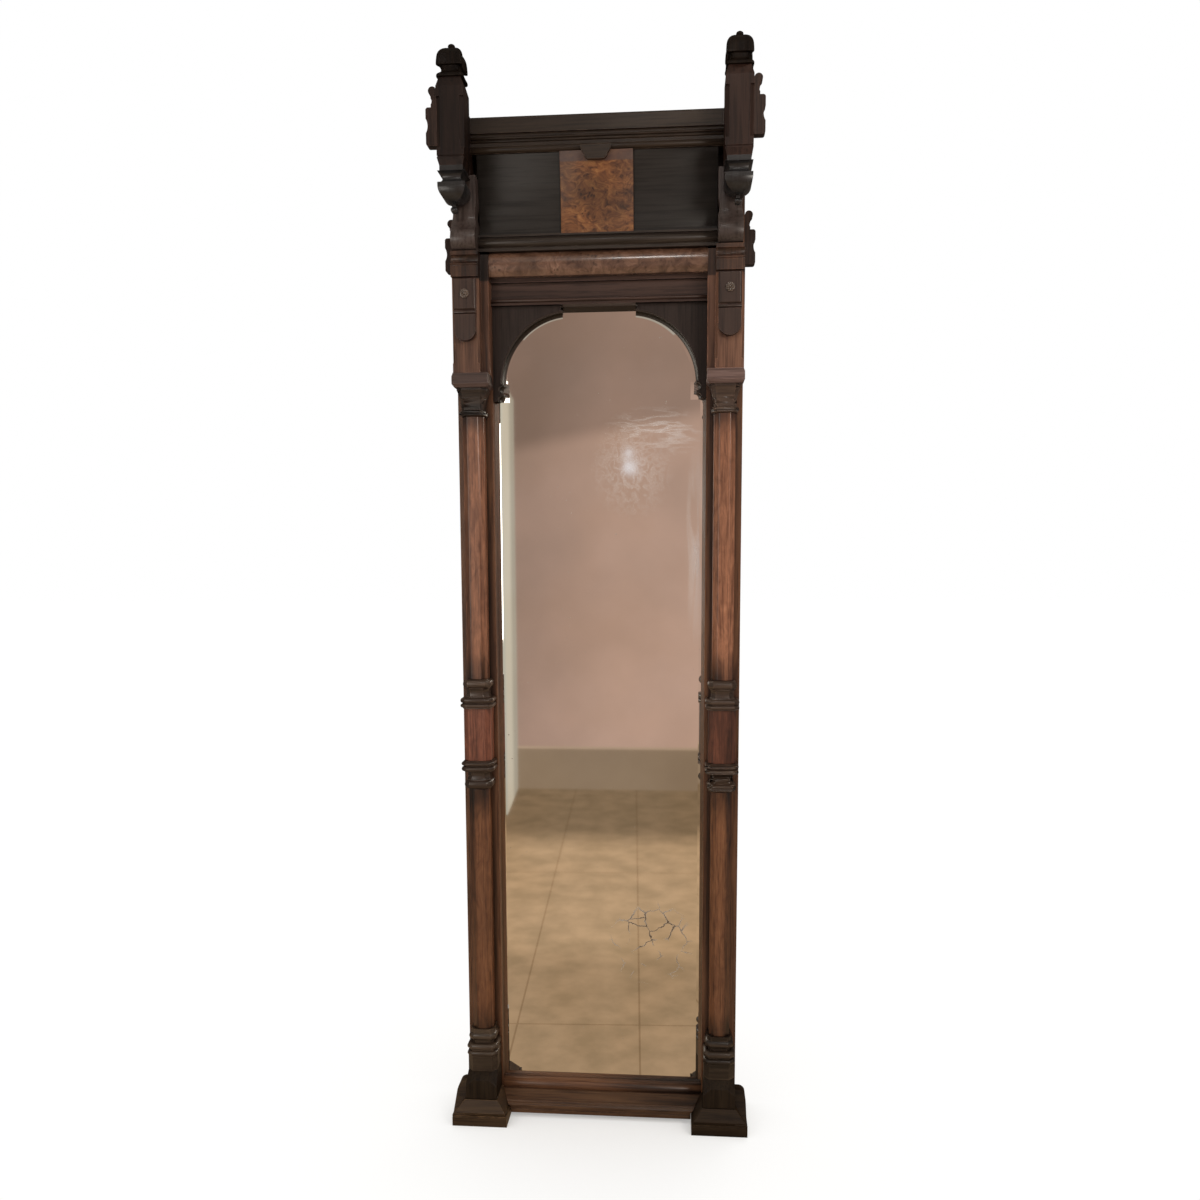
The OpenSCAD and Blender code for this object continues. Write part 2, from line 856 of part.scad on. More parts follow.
module bottom_rail() {
  color("#3a2418")
    difference() {
      run(-sight_x, sight_x)
        union() {
          translate([0, foot_h])
            square([rail_d, sill_z - rail_r - foot_h]);
          translate([0, foot_h])
            square([rail_d - rail_r, sill_z - foot_h]);
          translate([rail_d - rail_r, sill_z - rail_r])
            circle(r = rail_r);
        }
      translate([-sight_x - 1, back_y - lip_d, sill_z - glass_lap])
        cube([2 * sight_x + 2, lip_d + 1, 50]);
      translate([-sight_x - 1, back_y - board_t, back_z - gap])
        cube([2 * sight_x + 2, board_t + 1, 50]);
    }
}

module base_moulding() {
  foot_end = col_x - foot_w / 2 - gap;
  plinth_end = col_x - plinth_w / 2 - 2 * gap;
  top = sill_z - rail_r - 2;
  color("#4d2d1c")
    intersection() {
      run(-plinth_end, plinth_end)
        difference() {
          polygon([[rail_d, rail_z], [sill_d, rail_z], [sill_d, top - 18], [sill_d - 3, top - 15],
            [sill_d - 8, top - 14], [sill_d - 10, top - 11], [sill_d - 14, top - 11],
            [rail_d + 6, top], [rail_d, top]]);
          translate([(rail_d + sill_d) / 2 - 2, top - 4])
            circle(d = groove_d);
          translate([sill_d, (rail_z + top - 18) / 2])
            circle(d = groove_d);
        }
      board(rail_d, sill_d)
        polygon([[-foot_end, rail_z], [foot_end, rail_z], [foot_end, foot_h + gap], [plinth_end, z_plinth],
          [plinth_end, sill_z], [-plinth_end, sill_z], [-plinth_end, z_plinth], [-foot_end, foot_h + gap]]);
    }
}

module top_rail() {
  color("#3a2418")
    difference() {
      run(-sight_x, sight_x)
        union() {
          translate([0, z_frieze])
            square([stile_d, z_cove - z_frieze]);
          translate([stile_d - 1, z_frieze])
            square([6, 6]);
          translate([stile_d + 5, z_frieze + 9])
            circle(r = 4);
          translate([stile_d - 1, z_frieze + 5])
            square([6, 8]);
          translate([stile_d - 1, z_bead])
            square([8, bead_h]);
        }
      translate([-sight_x - 1, back_y - lip_d, z_frieze - 1])
        cube([2 * sight_x + 2, lip_d + 1, glass_lap + gap + 1]);
      translate([-sight_x - 1, back_y - board_t, z_frieze - 1])
        cube([2 * sight_x + 2, board_t + 1, z_cove]);
    }
}

// opening of the arch on its right-hand side
module arch_hollow() {
  difference() {
    translate([arch_x, arch_z])
      circle(r = arch_r);
    translate([arch_x - arch_r - 1, arch_z - arch_r - 1])
      square([2 * arch_r + 2, arch_r + 1]);
  }
  translate([0, thorn_z - 30])
    square([sight_x - thorn_in, arch_z - thorn_z + 30]);
  translate([sight_x - thorn_in + 1, arch_z - 12])
    circle(r = 9);
  translate([sight_x - thorn_in + 2, arch_z - 34])
    circle(r = 9);
}

module spandrel() {
  color("#2a1c14")
    board(lip_d, stile_d - spandrel_set)
      difference() {
        translate([arch_flat, thorn_z])
          square([sight_x - arch_flat, arch_top - thorn_z]);
        arch_hollow();
        translate([arch_flat, arch_top - arch_step / 2])
          circle(r = 4);
      }
}

module frieze_roll() {
  color("#6a3a20")
    run(-sight_x, sight_x)
      intersection() {
        translate([stile_d, z_roll])
          square([40, roll_h]);
        translate([stile_d - 6, z_roll + roll_h / 2])
          circle(r = roll_h / 2 + 11);
      }
}

module shelf_moulding() {
  nose_r = shelf_h * 0.3;
  color("#33221a")
    run(-console_x, console_x)
      difference() {
        union() {
          translate([stile_d, z_shelf])
            square([shelf_d - nose_r - stile_d, shelf_h]);
          translate([stile_d, z_shelf])
            square([shelf_d - 8 - stile_d, shelf_h * 0.2]);
          translate([shelf_d - nose_r, z_shelf + shelf_h / 2])
            circle(r = nose_r);
          translate([stile_d, z_cove - shelf_h * 0.12])
            square([shelf_d - 6 - stile_d, shelf_h * 0.12]);
        }
        translate([shelf_d - nose_r + 4, z_shelf + shelf_h * 0.2])
          circle(d = groove_d);
      }
}

// outline of the cove, grown forward by the given amount
module cove_outline(grow) {
  foot = cove_h * 0.06;
  reach = cornice_d - 8 - stile_d - cove_t;
  cove_r = ((cove_h - foot) * (cove_h - foot) + reach * reach) / (2 * reach);
  difference() {
    translate([stile_d, z_cove])
      square([cornice_d - 8 - stile_d + grow, cove_h]);
    translate([stile_d + cove_t + grow + cove_r, z_cove + foot])
      circle(r = cove_r, $fn = 360);
    translate([stile_d + cove_t + grow, z_cove - 1])
      square([reach + 1, foot + 1]);
  }
}

module cove_panel() {
  color("#211a14")
    run(-console_x, console_x)
      cove_outline(0);
}

module centre_tablet() {
  color("#8a5a30")
    run(-centre_w / 2, centre_w / 2)
      difference() {
        cove_outline(centre_t);
        cove_outline(0);
      }
}

module cornice() {
  face = cornice_h * 0.54;
  bead = cornice_h * 0.1;
  fillet = cornice_h * 0.04;
  color("#2b1f17")
    union() {
      run(-sight_x, sight_x)
        translate([0, z_cornice])
          square([stile_d, cornice_h]);
      run(-inner_post_x, inner_post_x)
        union() {
          translate([stile_d, z_cornice])
            square([cornice_d - 5 - stile_d, cornice_h]);
          polygon([[stile_d, z_cornice + face], [cornice_d, z_cornice + face], [cornice_d, z_head - 4],
            [cornice_d - 3, z_head], [stile_d, z_head]]);
          translate([cornice_d - 5, z_cornice + cornice_h * 0.42])
            circle(r = fillet);
          translate([cornice_d - 5, z_cornice + cornice_h * 0.33])
            circle(r = fillet);
          translate([cornice_d - bead, z_cornice + bead])
            circle(r = bead);
          translate([stile_d, z_cornice])
            square([cornice_d - bead - stile_d, 2 * bead]);
        }
    }
}

module cornice_drop() {
  color("#2b1f17")
    board(cornice_d, cornice_d + 8)
      difference() {
        polygon([[-tab_w / 2, z_cornice], [-tab_w / 2 + 8, z_cornice - tab_h + 6], [-tab_w / 2 + 14, z_cornice - tab_h],
          [tab_w / 2 - 14, z_cornice - tab_h], [tab_w / 2 - 8, z_cornice - tab_h + 6], [tab_w / 2, z_cornice],
          [tab_w / 2, z_cornice + 8], [-tab_w / 2, z_cornice + 8]]);
        for (s = [-1, 1])
          translate([s * tab_w / 2, z_cornice - tab_h + 9])
            circle(r = 7);
      }
}

// outline of the glass: the sight opening with its lap behind the frame all round
module glass_outline() {
  difference() {
    translate([-sight_x - glass_lap, sill_z - glass_lap])
      square([2 * (sight_x + glass_lap), arch_z - sill_z + 2 * glass_lap]);
    for (s = [-1, 1])
      translate([s * sight_x - (s < 0 ? thorn_in : 0), arch_z - 20])
        square([thorn_in, 60]);
  }
  for (s = [-1, 1])
    translate([s * arch_x, arch_z])
      circle(r = arch_r + glass_lap);
  translate([-arch_flat, arch_z])
    square([2 * arch_flat, arch_top + glass_lap - arch_z]);
}

// plan of the waste cut off the front of the glass along an upright edge at x = edge
module bevel_waste(edge) {
  polygon([[edge - bevel_w, glass_d], [edge - bevel_w, glass_d + 1], [edge + 30, glass_d + 1],
    [edge + 30, glass_d - slope * (bevel_w + 30)]]);
}

module mirror_glass() {
  color("#c9c4bd")
    difference() {
      board(seat_d, glass_d)
        glass_outline();
      for (s = [-1, 1])
        side(s) {
          rise(sill_z - 20, thorn_z)
            bevel_waste(sight_x);
          rise(thorn_z - 1, arch_z)
            bevel_waste(sight_x - thorn_in);
          intersection() {
            translate([arch_flat, back_y - glass_d - 1, arch_z])
              cube([sight_x, glass_t, arch_r + 30]);
            translate([arch_x, back_y - glass_d - 1, arch_z])
              rotate([-90, 0, 0])
                difference() {
                  cylinder(r = arch_r + 60, h = glass_t);
                  translate([0, 0, 1])
                    cylinder(r1 = arch_r - bevel_w, r2 = arch_r - bevel_w + (glass_t - 1) / slope, h = glass_t - 1);
                  cylinder(r = arch_r - bevel_w, h = 1);
                }
          }
        }
      run(-arch_flat, arch_flat)
        polygon([[glass_d + 1, arch_top + 30], [glass_d + 1, arch_top - bevel_w], [glass_d, arch_top - bevel_w],
          [glass_d - slope * (bevel_w + 30), arch_top + 30]]);
      run(-sight_x - 20, sight_x + 20)
        polygon([[glass_d + 1, sill_z - 30], [glass_d + 1, sill_z + bevel_w], [glass_d, sill_z + bevel_w],
          [glass_d - slope * (bevel_w + 30), sill_z - 30]]);
    }
}

// one of the three back boards, counted from the bottom
module backboard(i) {
  color("#8f7350")
    difference() {
      board(0, board_t)
        translate([-sight_x - board_lap + gap, back_z + i * board_h])
          square([2 * (sight_x + board_lap - gap), board_h - gap]);
      for (s = [-1, 1])
        side(s)
          screw_places() {
            translate([0, 0, -1])
              cylinder(d = screw_d + gap, h = 3);
            cylinder(d = shank_d + gap, h = board_t + 1);
          }
    }
}

// where the back screws of one side stand, each driven forward from the back face
module screw_places() {
  for (i = [0 : 2], end = [50, board_h - 50 - gap])
    translate([screw_x, back_y, back_z + i * board_h + end])
      rotate([90, 0, 0])
        children();
}

module glazing_blocks() {
  step = (thorn_z - sill_z - block_l - 120) / 3;
  color("#8f7350")
    for (s = [-1, 1])
      side(s)
        for (i = [0 : 3])
          translate([sight_x - 10, back_y - seat_d, sill_z + 60 + i * step])
            cube([10 + glass_lap, seat_d - board_t, block_l]);
}

module back_screws() {
  color("#3a3836")
    for (s = [-1, 1])
      side(s)
        screw_places()
          union() {
            cylinder(d = screw_d, h = 2);
            cylinder(d = shank_d, h = board_t + 10);
          }
}

module buttons() {
  color("#4a2c1c")
    for (s = [-1, 1])
      side(s)
        translate([pil_x, back_y - pilaster_d - tablet_t, z_band - 2 - tablet_h / 2])
          rotate([90, 0, 0]) {
            cylinder(d = button_d, h = 3);
            translate([0, 0, 3])
              cylinder(d1 = button_d - 6, d2 = 5, h = 5);
          }
}

side(-1) foot();  // left_foot
side(1) foot();  // right_foot
side(-1) plinth();  // left_plinth
side(1) plinth();  // right_plinth
side(-1) column_base();  // left_column_base
side(1) column_base();  // right_column_base
side(-1) shaft(z_lower, z_collar);  // left_lower_shaft
side(1) shaft(z_lower, z_collar);  // right_lower_shaft
side(-1) collar(z_collar, 1);  // left_lower_collar
side(1) collar(z_collar, 1);  // right_lower_collar
side(-1) waist();  // left_waist
side(1) waist();  // right_waist
side(-1) collar(z_upper_collar, -1);  // left_upper_collar
side(1) collar(z_upper_collar, -1);  // right_upper_collar
side(-1) shaft(z_upper, z_capital);  // left_upper_shaft
side(1) shaft(z_upper, z_capital);  // right_upper_shaft
side(-1) capital();  // left_capital
side(1) capital();  // right_capital
side(-1) abacus();  // left_abacus
side(1) abacus();  // right_abacus
side(-1) pilaster();  // left_pilaster
side(1) pilaster();  // right_pilaster
side(-1) tablet();  // left_tablet
side(1) tablet();  // right_tablet
side(-1) teardrop();  // left_teardrop
side(1) teardrop();  // right_teardrop
side(-1) console();  // left_console
side(1) console();  // right_console
side(-1) post_drop();  // left_post_drop
side(1) post_drop();  // right_post_drop
side(-1) post();  // left_post
side(1) post();  // right_post
side(-1) finial();  // left_finial
side(1) finial();  // right_finial
side(-1) upper_ear();  // left_upper_ear
side(1) upper_ear();  // right_upper_ear
side(-1) lower_ear();  // left_lower_ear
side(1) lower_ear();  // right_lower_ear
side(-1) stile();  // left_stile
side(1) stile();  // right_stile
bottom_rail();
base_moulding();
top_rail();
side(-1) spandrel();  // left_spandrel
side(1) spandrel();  // right_spandrel
frieze_roll();
shelf_moulding();
cove_panel();
centre_tablet();
cornice();
cornice_drop();
mirror_glass();
backboard(0);  // lower_backboard
backboard(1);  // middle_backboard
backboard(2);  // upper_backboard
glazing_blocks();
back_screws();
buttons();
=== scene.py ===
import math

import bpy
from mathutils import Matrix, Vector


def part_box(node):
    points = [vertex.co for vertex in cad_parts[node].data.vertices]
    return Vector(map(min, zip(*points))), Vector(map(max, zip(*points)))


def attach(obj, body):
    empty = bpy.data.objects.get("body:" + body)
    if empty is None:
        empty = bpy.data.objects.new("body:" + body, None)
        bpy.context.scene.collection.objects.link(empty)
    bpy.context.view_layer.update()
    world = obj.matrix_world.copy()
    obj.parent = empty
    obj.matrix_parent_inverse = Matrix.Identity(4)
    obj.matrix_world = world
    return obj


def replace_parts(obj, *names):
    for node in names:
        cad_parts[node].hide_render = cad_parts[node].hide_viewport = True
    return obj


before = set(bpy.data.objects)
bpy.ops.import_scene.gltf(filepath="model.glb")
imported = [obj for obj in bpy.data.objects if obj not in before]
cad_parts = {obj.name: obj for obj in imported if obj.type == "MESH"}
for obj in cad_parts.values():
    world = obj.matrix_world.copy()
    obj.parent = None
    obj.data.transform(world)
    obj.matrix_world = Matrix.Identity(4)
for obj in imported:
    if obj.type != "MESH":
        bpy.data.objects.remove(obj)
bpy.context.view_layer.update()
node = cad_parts
scene = bpy.context.scene
scene.view_settings.view_transform = "Standard"

# ---- the room ----
# The mirror stands on a plain pale floor and is seen from a little to the right of its middle. A broad soft
# lamp stands at the front right, a weaker one at the front left and one behind. A small lamp overhead streaks
# the roll, and two faint ones glint in the plate, which also reflects a plain plastered room. That room is
# made of glowing sheets that only reflections see, with painted light and shade on them.

eye = bpy.data.cameras.new("eye")
eye.lens = 30.0
eye.sensor_width = 36.0
eye.shift_x = 0.001
eye.shift_y = 0.0584
eye_stand = bpy.data.objects.new("eye", eye)
eye_stand.location = (0.1807, -2.2552, 1.322)
eye_stand.rotation_euler = (1.46159, 0.00385, 0.07942)
scene.collection.objects.link(eye_stand)
scene.camera = eye_stand


def soft_lamp(name, place, aim, size, watts, colour):
    lamp = bpy.data.lights.new(name, "AREA")
    lamp.shape = "DISK"
    lamp.size = size
    lamp.energy = watts
    lamp.color = colour
    stand = bpy.data.objects.new(name, lamp)
    stand.location = place
    way = [a - p for a, p in zip(aim, place)]
    flat = math.hypot(way[0], way[1])
    stand.rotation_euler = (math.atan2(flat, -way[2]), 0.0, math.atan2(-way[0], way[1]))
    scene.collection.objects.link(stand)
    return stand


soft_lamp("lamp_right", (2.1, -2.3, 2.4), (0.0, 0.0, 1.4), 1.0, 42.0, (1.0, 0.93, 0.84))
soft_lamp("lamp_left", (-1.9, -2.4, 1.6), (0.0, 0.0, 1.2), 1.6, 24.0, (1.0, 0.93, 0.86))
soft_lamp("lamp_over", (0.05, -1.95, 3.3), (0.0, 0.0, 1.5), 0.4, 6.0, (1.0, 0.97, 0.93))
soft_lamp("lamp_brow", (-0.06, -2.6, 1.77), (0.0, 0.0, 1.5), 0.055, 0.008, (0.58, 0.8, 1.0))
soft_lamp("lamp_upper_brow", (-0.066, -2.6, 1.84), (0.0, 0.0, 1.5), 0.04, 0.003, (0.58, 0.8, 1.0))
soft_lamp("lamp_back", (0.8, 2.4, 2.8), (0.0, 0.0, 1.2), 1.4, 46.0, (1.0, 0.98, 0.95)).visible_glossy = False


def reckon(tree, kind, *terms):
    step = tree.nodes.new("ShaderNodeMath")
    step.operation = kind
    for socket, term in zip(step.inputs, terms):
        if isinstance(term, float):
            socket.default_value = term
        else:
            tree.links.new(term, socket)
    return step.outputs[0]


def shared(tree, share, first, second):
    mix = tree.nodes.new("ShaderNodeMixShader")
    tree.links.new(share, mix.inputs["Fac"])
    tree.links.new(first, mix.inputs[1])
    tree.links.new(second, mix.inputs[2])
    return mix.outputs[0]


sky = bpy.data.worlds.new("sky")
scene.world = sky
sky.use_nodes = True
sky_tree = sky.node_tree
sky_tree.nodes.clear()
sky_path = sky_tree.nodes.new("ShaderNodeLightPath")
sky_seen = reckon(sky_tree, "MAXIMUM", sky_path.outputs["Is Camera Ray"], sky_path.outputs["Is Glossy Ray"])
sky_seen = reckon(sky_tree, "MAXIMUM", sky_seen, sky_path.outputs["Is Transmission Ray"])
sky_light = sky_tree.nodes.new("ShaderNodeBackground")
sky_light.inputs["Color"].default_value = (1.0, 0.97, 0.94, 1.0)
sky_light.inputs["Strength"].default_value = 0.5
sky_view = sky_tree.nodes.new("ShaderNodeBackground")
sky_view.inputs["Color"].default_value = (1.0, 1.0, 1.0, 1.0)
sky_view.inputs["Strength"].default_value = 1.0
sky_mix = shared(sky_tree, sky_seen, sky_light.outputs[0], sky_view.outputs[0])
sky_out = sky_tree.nodes.new("ShaderNodeOutputWorld")
sky_tree.links.new(sky_mix, sky_out.inputs["Surface"])


def plain_sheet(name, place, size, turn, paint):
    bpy.ops.object.select_all(action="DESELECT")
    bpy.ops.mesh.primitive_plane_add(size=1.0, location=(0.0, 0.0, 0.0))
    sheet = bpy.context.active_object
    sheet.name = name
    bpy.ops.object.mode_set(mode="EDIT")
    bpy.ops.mesh.select_all(action="SELECT")
    bpy.ops.transform.resize(value=(size[0], size[1], 1.0))
    bpy.ops.object.mode_set(mode="OBJECT")
    sheet.rotation_euler = turn
    sheet.location = place
    bpy.ops.object.transform_apply(location=True, rotation=True, scale=True)
    sheet.data.materials.append(paint)
    return sheet


def new_finish(name):
    finish = bpy.data.materials.new(name)
    finish.use_nodes = True
    return finish, finish.node_tree, finish.node_tree.nodes["Principled BSDF"]


def spread(tree, value, low, high, to_low, to_high, kind="LINEAR"):
    ramp = tree.nodes.new("ShaderNodeMapRange")
    ramp.interpolation_type = kind
    for socket, amount in (("From Min", low), ("From Max", high), ("To Min", to_low), ("To Max", to_high)):
        ramp.inputs[socket].default_value = amount
    tree.links.new(value, ramp.inputs["Value"])
    return ramp.outputs["Result"]


floor_paint, floor_tree, floor_base = new_finish("pale_floor")
floor_base.inputs["Base Color"].default_value = (0.8, 0.79, 0.77, 1.0)
floor_base.inputs["Roughness"].default_value = 0.95
floor_base.inputs["Specular IOR Level"].default_value = 0.0
floor_glow = floor_tree.nodes.new("ShaderNodeEmission")
floor_glow.inputs["Color"].default_value = (1.0, 0.995, 0.985, 1.0)
floor_glow.inputs["Strength"].default_value = 1.02
# Seen by the camera the floor glows evenly; ambient occlusion dims that glow near the mirror as a painted
# contact shadow, so that more of the lit floor shows there.
floor_path = floor_tree.nodes.new("ShaderNodeLightPath")
floor_painted_shadow = floor_tree.nodes.new("ShaderNodeAmbientOcclusion")
floor_painted_shadow.samples = 16
floor_painted_shadow.inputs["Distance"].default_value = 0.7
floor_seen = reckon(floor_tree, "MULTIPLY", floor_path.outputs["Is Camera Ray"],
                    spread(floor_tree, floor_painted_shadow.outputs["AO"], 0.25, 0.98, 0.35, 1.0))
floor_mix = shared(floor_tree, floor_seen, floor_base.outputs["BSDF"], floor_glow.outputs["Emission"])
floor_tree.links.new(floor_mix, floor_tree.nodes["Material Output"].inputs["Surface"])
plain_sheet("floor", (0.0, 0.0, 0.0), (60.0, 60.0), (0.0, 0.0, 0.0), floor_paint)

rightward = (1.0, 0.0, 0.0)
inward = (0.0, 1.0, 0.0)
upward = (0.0, 0.0, 1.0)


def seat(tree):
    return tree.nodes.new("ShaderNodeTexCoord").outputs["Object"]


def cloud(tree, place, size, detail, rough=0.5, bend=0.0):
    noise = tree.nodes.new("ShaderNodeTexNoise")
    for socket, amount in (("Scale", size), ("Detail", detail), ("Roughness", rough), ("Distortion", bend)):
        noise.inputs[socket].default_value = amount
    tree.links.new(place, noise.inputs["Vector"])
    return noise


def toned(tree, value, *steps):
    ramp = tree.nodes.new("ShaderNodeValToRGB")
    marks = ramp.color_ramp.elements
    for index, (position, colour) in ((0, steps[0]), (1, steps[-1])):
        marks[index].position = position
        marks[index].color = (*colour, 1.0)
    for position, colour in steps[1:-1]:
        marks.new(position).color = (*colour, 1.0)
    tree.links.new(value, ramp.inputs["Fac"])
    return ramp.outputs["Color"]


def stained(tree, kind, share, under, stain):
    mix = tree.nodes.new("ShaderNodeMix")
    mix.data_type = "RGBA"
    mix.blend_type = kind
    tree.links.new(share, mix.inputs["Factor"])
    if isinstance(under, tuple):
        mix.inputs[6].default_value = (*under, 1.0)
    else:
        tree.links.new(under, mix.inputs[6])
    mix.inputs[7].default_value = (*stain, 1.0)
    return mix.outputs[2]


def dimmed(tree, colour, share):
    dim = tree.nodes.new("ShaderNodeVectorMath")
    dim.operation = "SCALE"
    tree.links.new(colour, dim.inputs[0])
    tree.links.new(share, dim.inputs["Scale"])
    return dim.outputs["Vector"]


def ramp_along(tree, place, way, low, high, to_low, to_high):
    reach = tree.nodes.new("ShaderNodeVectorMath")
    reach.operation = "DOT_PRODUCT"
    reach.inputs[1].default_value = way
    tree.links.new(place, reach.inputs[0])
    return spread(tree, reach.outputs["Value"], low, high, to_low, to_high, "SMOOTHSTEP")


# A room sheet glows with its paint colour instead of being lit: painted light. Its list of ramps paints light
# and shade across it, and tiles add the dark joints of a floor.
def glowing_plaster(name, light, dark, size, painted_shades=(), tiles=False):
    paint, tree, unlit = new_finish(name)
    tree.nodes.remove(unlit)
    place = seat(tree)
    colour = toned(tree, cloud(tree, place, size, 6.0, 0.55).outputs["Fac"], (0.36, dark), (0.64, light))
    for way, low, high, to_low, to_high in painted_shades:
        colour = dimmed(tree, colour, ramp_along(tree, place, way, low, high, to_low, to_high))
    if tiles:
        lay = tree.nodes.new("ShaderNodeMapping")
        lay.vector_type = "TEXTURE"
        lay.inputs["Location"].default_value = (0.075, -0.37, 0.0)
        lay.inputs["Rotation"].default_value = (0.0, 0.0, -0.045)
        tree.links.new(place, lay.inputs["Vector"])
        joint = tree.nodes.new("ShaderNodeTexBrick")
        joint.offset = 0.0
        for socket, amount in (("Scale", 1.0), ("Mortar Size", 0.0035), ("Mortar Smooth", 0.6),
                               ("Brick Width", 0.35), ("Row Height", 1.4)):
            joint.inputs[socket].default_value = amount
        tree.links.new(lay.outputs["Vector"], joint.inputs["Vector"])
        colour = stained(tree, "MULTIPLY", joint.outputs["Fac"], colour, (0.72, 0.68, 0.64))
    sheet_glow = tree.nodes.new("ShaderNodeEmission")
    tree.links.new(colour, sheet_glow.inputs["Color"])
    tree.links.new(sheet_glow.outputs["Emission"], tree.nodes["Material Output"].inputs["Surface"])
    return paint


def glass_sheet(name, place, size, turn, paint):
    sheet = plain_sheet(name, place, size, turn, paint)
    sheet.visible_camera = False
    sheet.visible_diffuse = False
    sheet.visible_shadow = False
    sheet.visible_transmission = False


room_wide = 6.8
room_high = 3.4
far_y = -3.33
rear_y = 0.25
room_deep = rear_y - far_y
middle_y = (rear_y + far_y) / 2
skirting_high = 0.24
door_high = 2.22
quarter = math.radians(90)
level = (0.0, 0.0, 0.0)
upright = (quarter, 0.0, 0.0)
sideways = (quarter, 0.0, quarter)
swung_open = (quarter, 0.0, quarter - 0.071)

# Painted shade darkens the far wall above a sloping line and toward the left; it is a little lighter low down.
wall_paint = glowing_plaster("warm_plaster", (0.5, 0.335, 0.265), (0.41, 0.28, 0.222), 1.1,
                     [((-0.178, 0.0, 1.0), 2.02, 2.14, 1.0, 0.68), (rightward, -0.8, -0.1, 0.86, 1.08),
                      (upward, 0.2, 1.6, 1.04, 1.0)])
glass_sheet("far_wall", (0.0, far_y, room_high / 2), (room_wide, room_high), upright, wall_paint)
skirting_paint = glowing_plaster("plaster_skirting", (0.31, 0.225, 0.152), (0.27, 0.193, 0.13), 1.6)
glass_sheet("far_skirting", (0.0, far_y + 0.02, skirting_high / 2), (room_wide, skirting_high), upright,
            skirting_paint)
cap_paint = glowing_plaster("skirting_cap", (0.52, 0.38, 0.27), (0.45, 0.33, 0.235), 1.6)
glass_sheet("skirting_cap", (0.0, far_y + 0.022, 0.246), (room_wide, 0.014), upright, cap_paint)
# Painted shade darkens the door toward the floor.
door_paint = glowing_plaster("pale_door", (0.68, 0.65, 0.56), (0.6, 0.58, 0.5), 0.8, [(upward, 0.0, 1.6, 0.8, 1.0)])
glass_sheet("door_edge", (-0.7315, -2.7, door_high / 2), (0.055, door_high), upright, door_paint)
glass_sheet("door_far", (-1.75, far_y + 0.01, door_high / 2), (1.5, door_high), upright, door_paint)
# The open door's face is painted in shade, lighter toward its near edge.
shaded_paint = glowing_plaster("shaded_door", (0.66, 0.6, 0.5), (0.58, 0.52, 0.42), 0.8,
                       [(inward, -3.15, -2.95, 0.72, 1.1)])
glass_sheet("door_face", (-0.7265, -3.015, door_high / 2), (0.63, door_high), swung_open, shaded_paint)
# Painted shade darkens the reflected floor near the far wall and again near the mirror, leaving a painted pool
# of light between.
near_paint = glowing_plaster("warm_floor", (0.585, 0.395, 0.235), (0.445, 0.305, 0.178), 8.0,
                     [(inward, -2.5, -2.05, 0.48, 1.0), (inward, -1.0, -0.75, 1.0, 0.78)], True)
glass_sheet("near_floor", (0.0, middle_y, 0.002), (room_wide, room_deep), level, near_paint)
# The left wall glows paler than the right: painted light.
for side, edge, light, dark in (("left", -1, (0.42, 0.41, 0.37), (0.34, 0.33, 0.3)),
                                ("right", 1, (0.36, 0.31, 0.29), (0.28, 0.24, 0.22))):
    side_paint = glowing_plaster(f"{side}_side_plaster", light, dark, 0.8)
    side_middle = (edge * room_wide / 2, middle_y, room_high / 2)
    glass_sheet(f"{side}_side_wall", side_middle, (room_deep, room_high), sideways, side_paint)
# The wall behind the mirror glows only dimly: painted shade.
rear_paint = glowing_plaster("rear_plaster", (0.13, 0.105, 0.085), (0.1, 0.08, 0.065), 0.8)
glass_sheet("rear_wall", (0.0, rear_y, room_high / 2), (room_wide, room_high), upright, rear_paint)
ceiling_paint = glowing_plaster("pale_ceiling", (0.46, 0.42, 0.37), (0.4, 0.36, 0.31), 0.8)
glass_sheet("ceiling", (0.0, middle_y, room_high), (room_wide, room_deep), level, ceiling_paint)

# ---- feet and plinths ----
# Each foot is a solid walnut block with a sloped moulding worked over it and a rounded cheek beside the stile.
# The plinth block on it has a broached top that carries the eight-sided column. Both are glued on.


def embossed(tree, shell, height, strength, depth):
    relief = tree.nodes.new("ShaderNodeBump")
    relief.inputs["Strength"].default_value = strength
    relief.inputs["Distance"].default_value = depth
    tree.links.new(height, relief.inputs["Height"])
    tree.links.new(relief.outputs["Normal"], shell.inputs["Normal"])
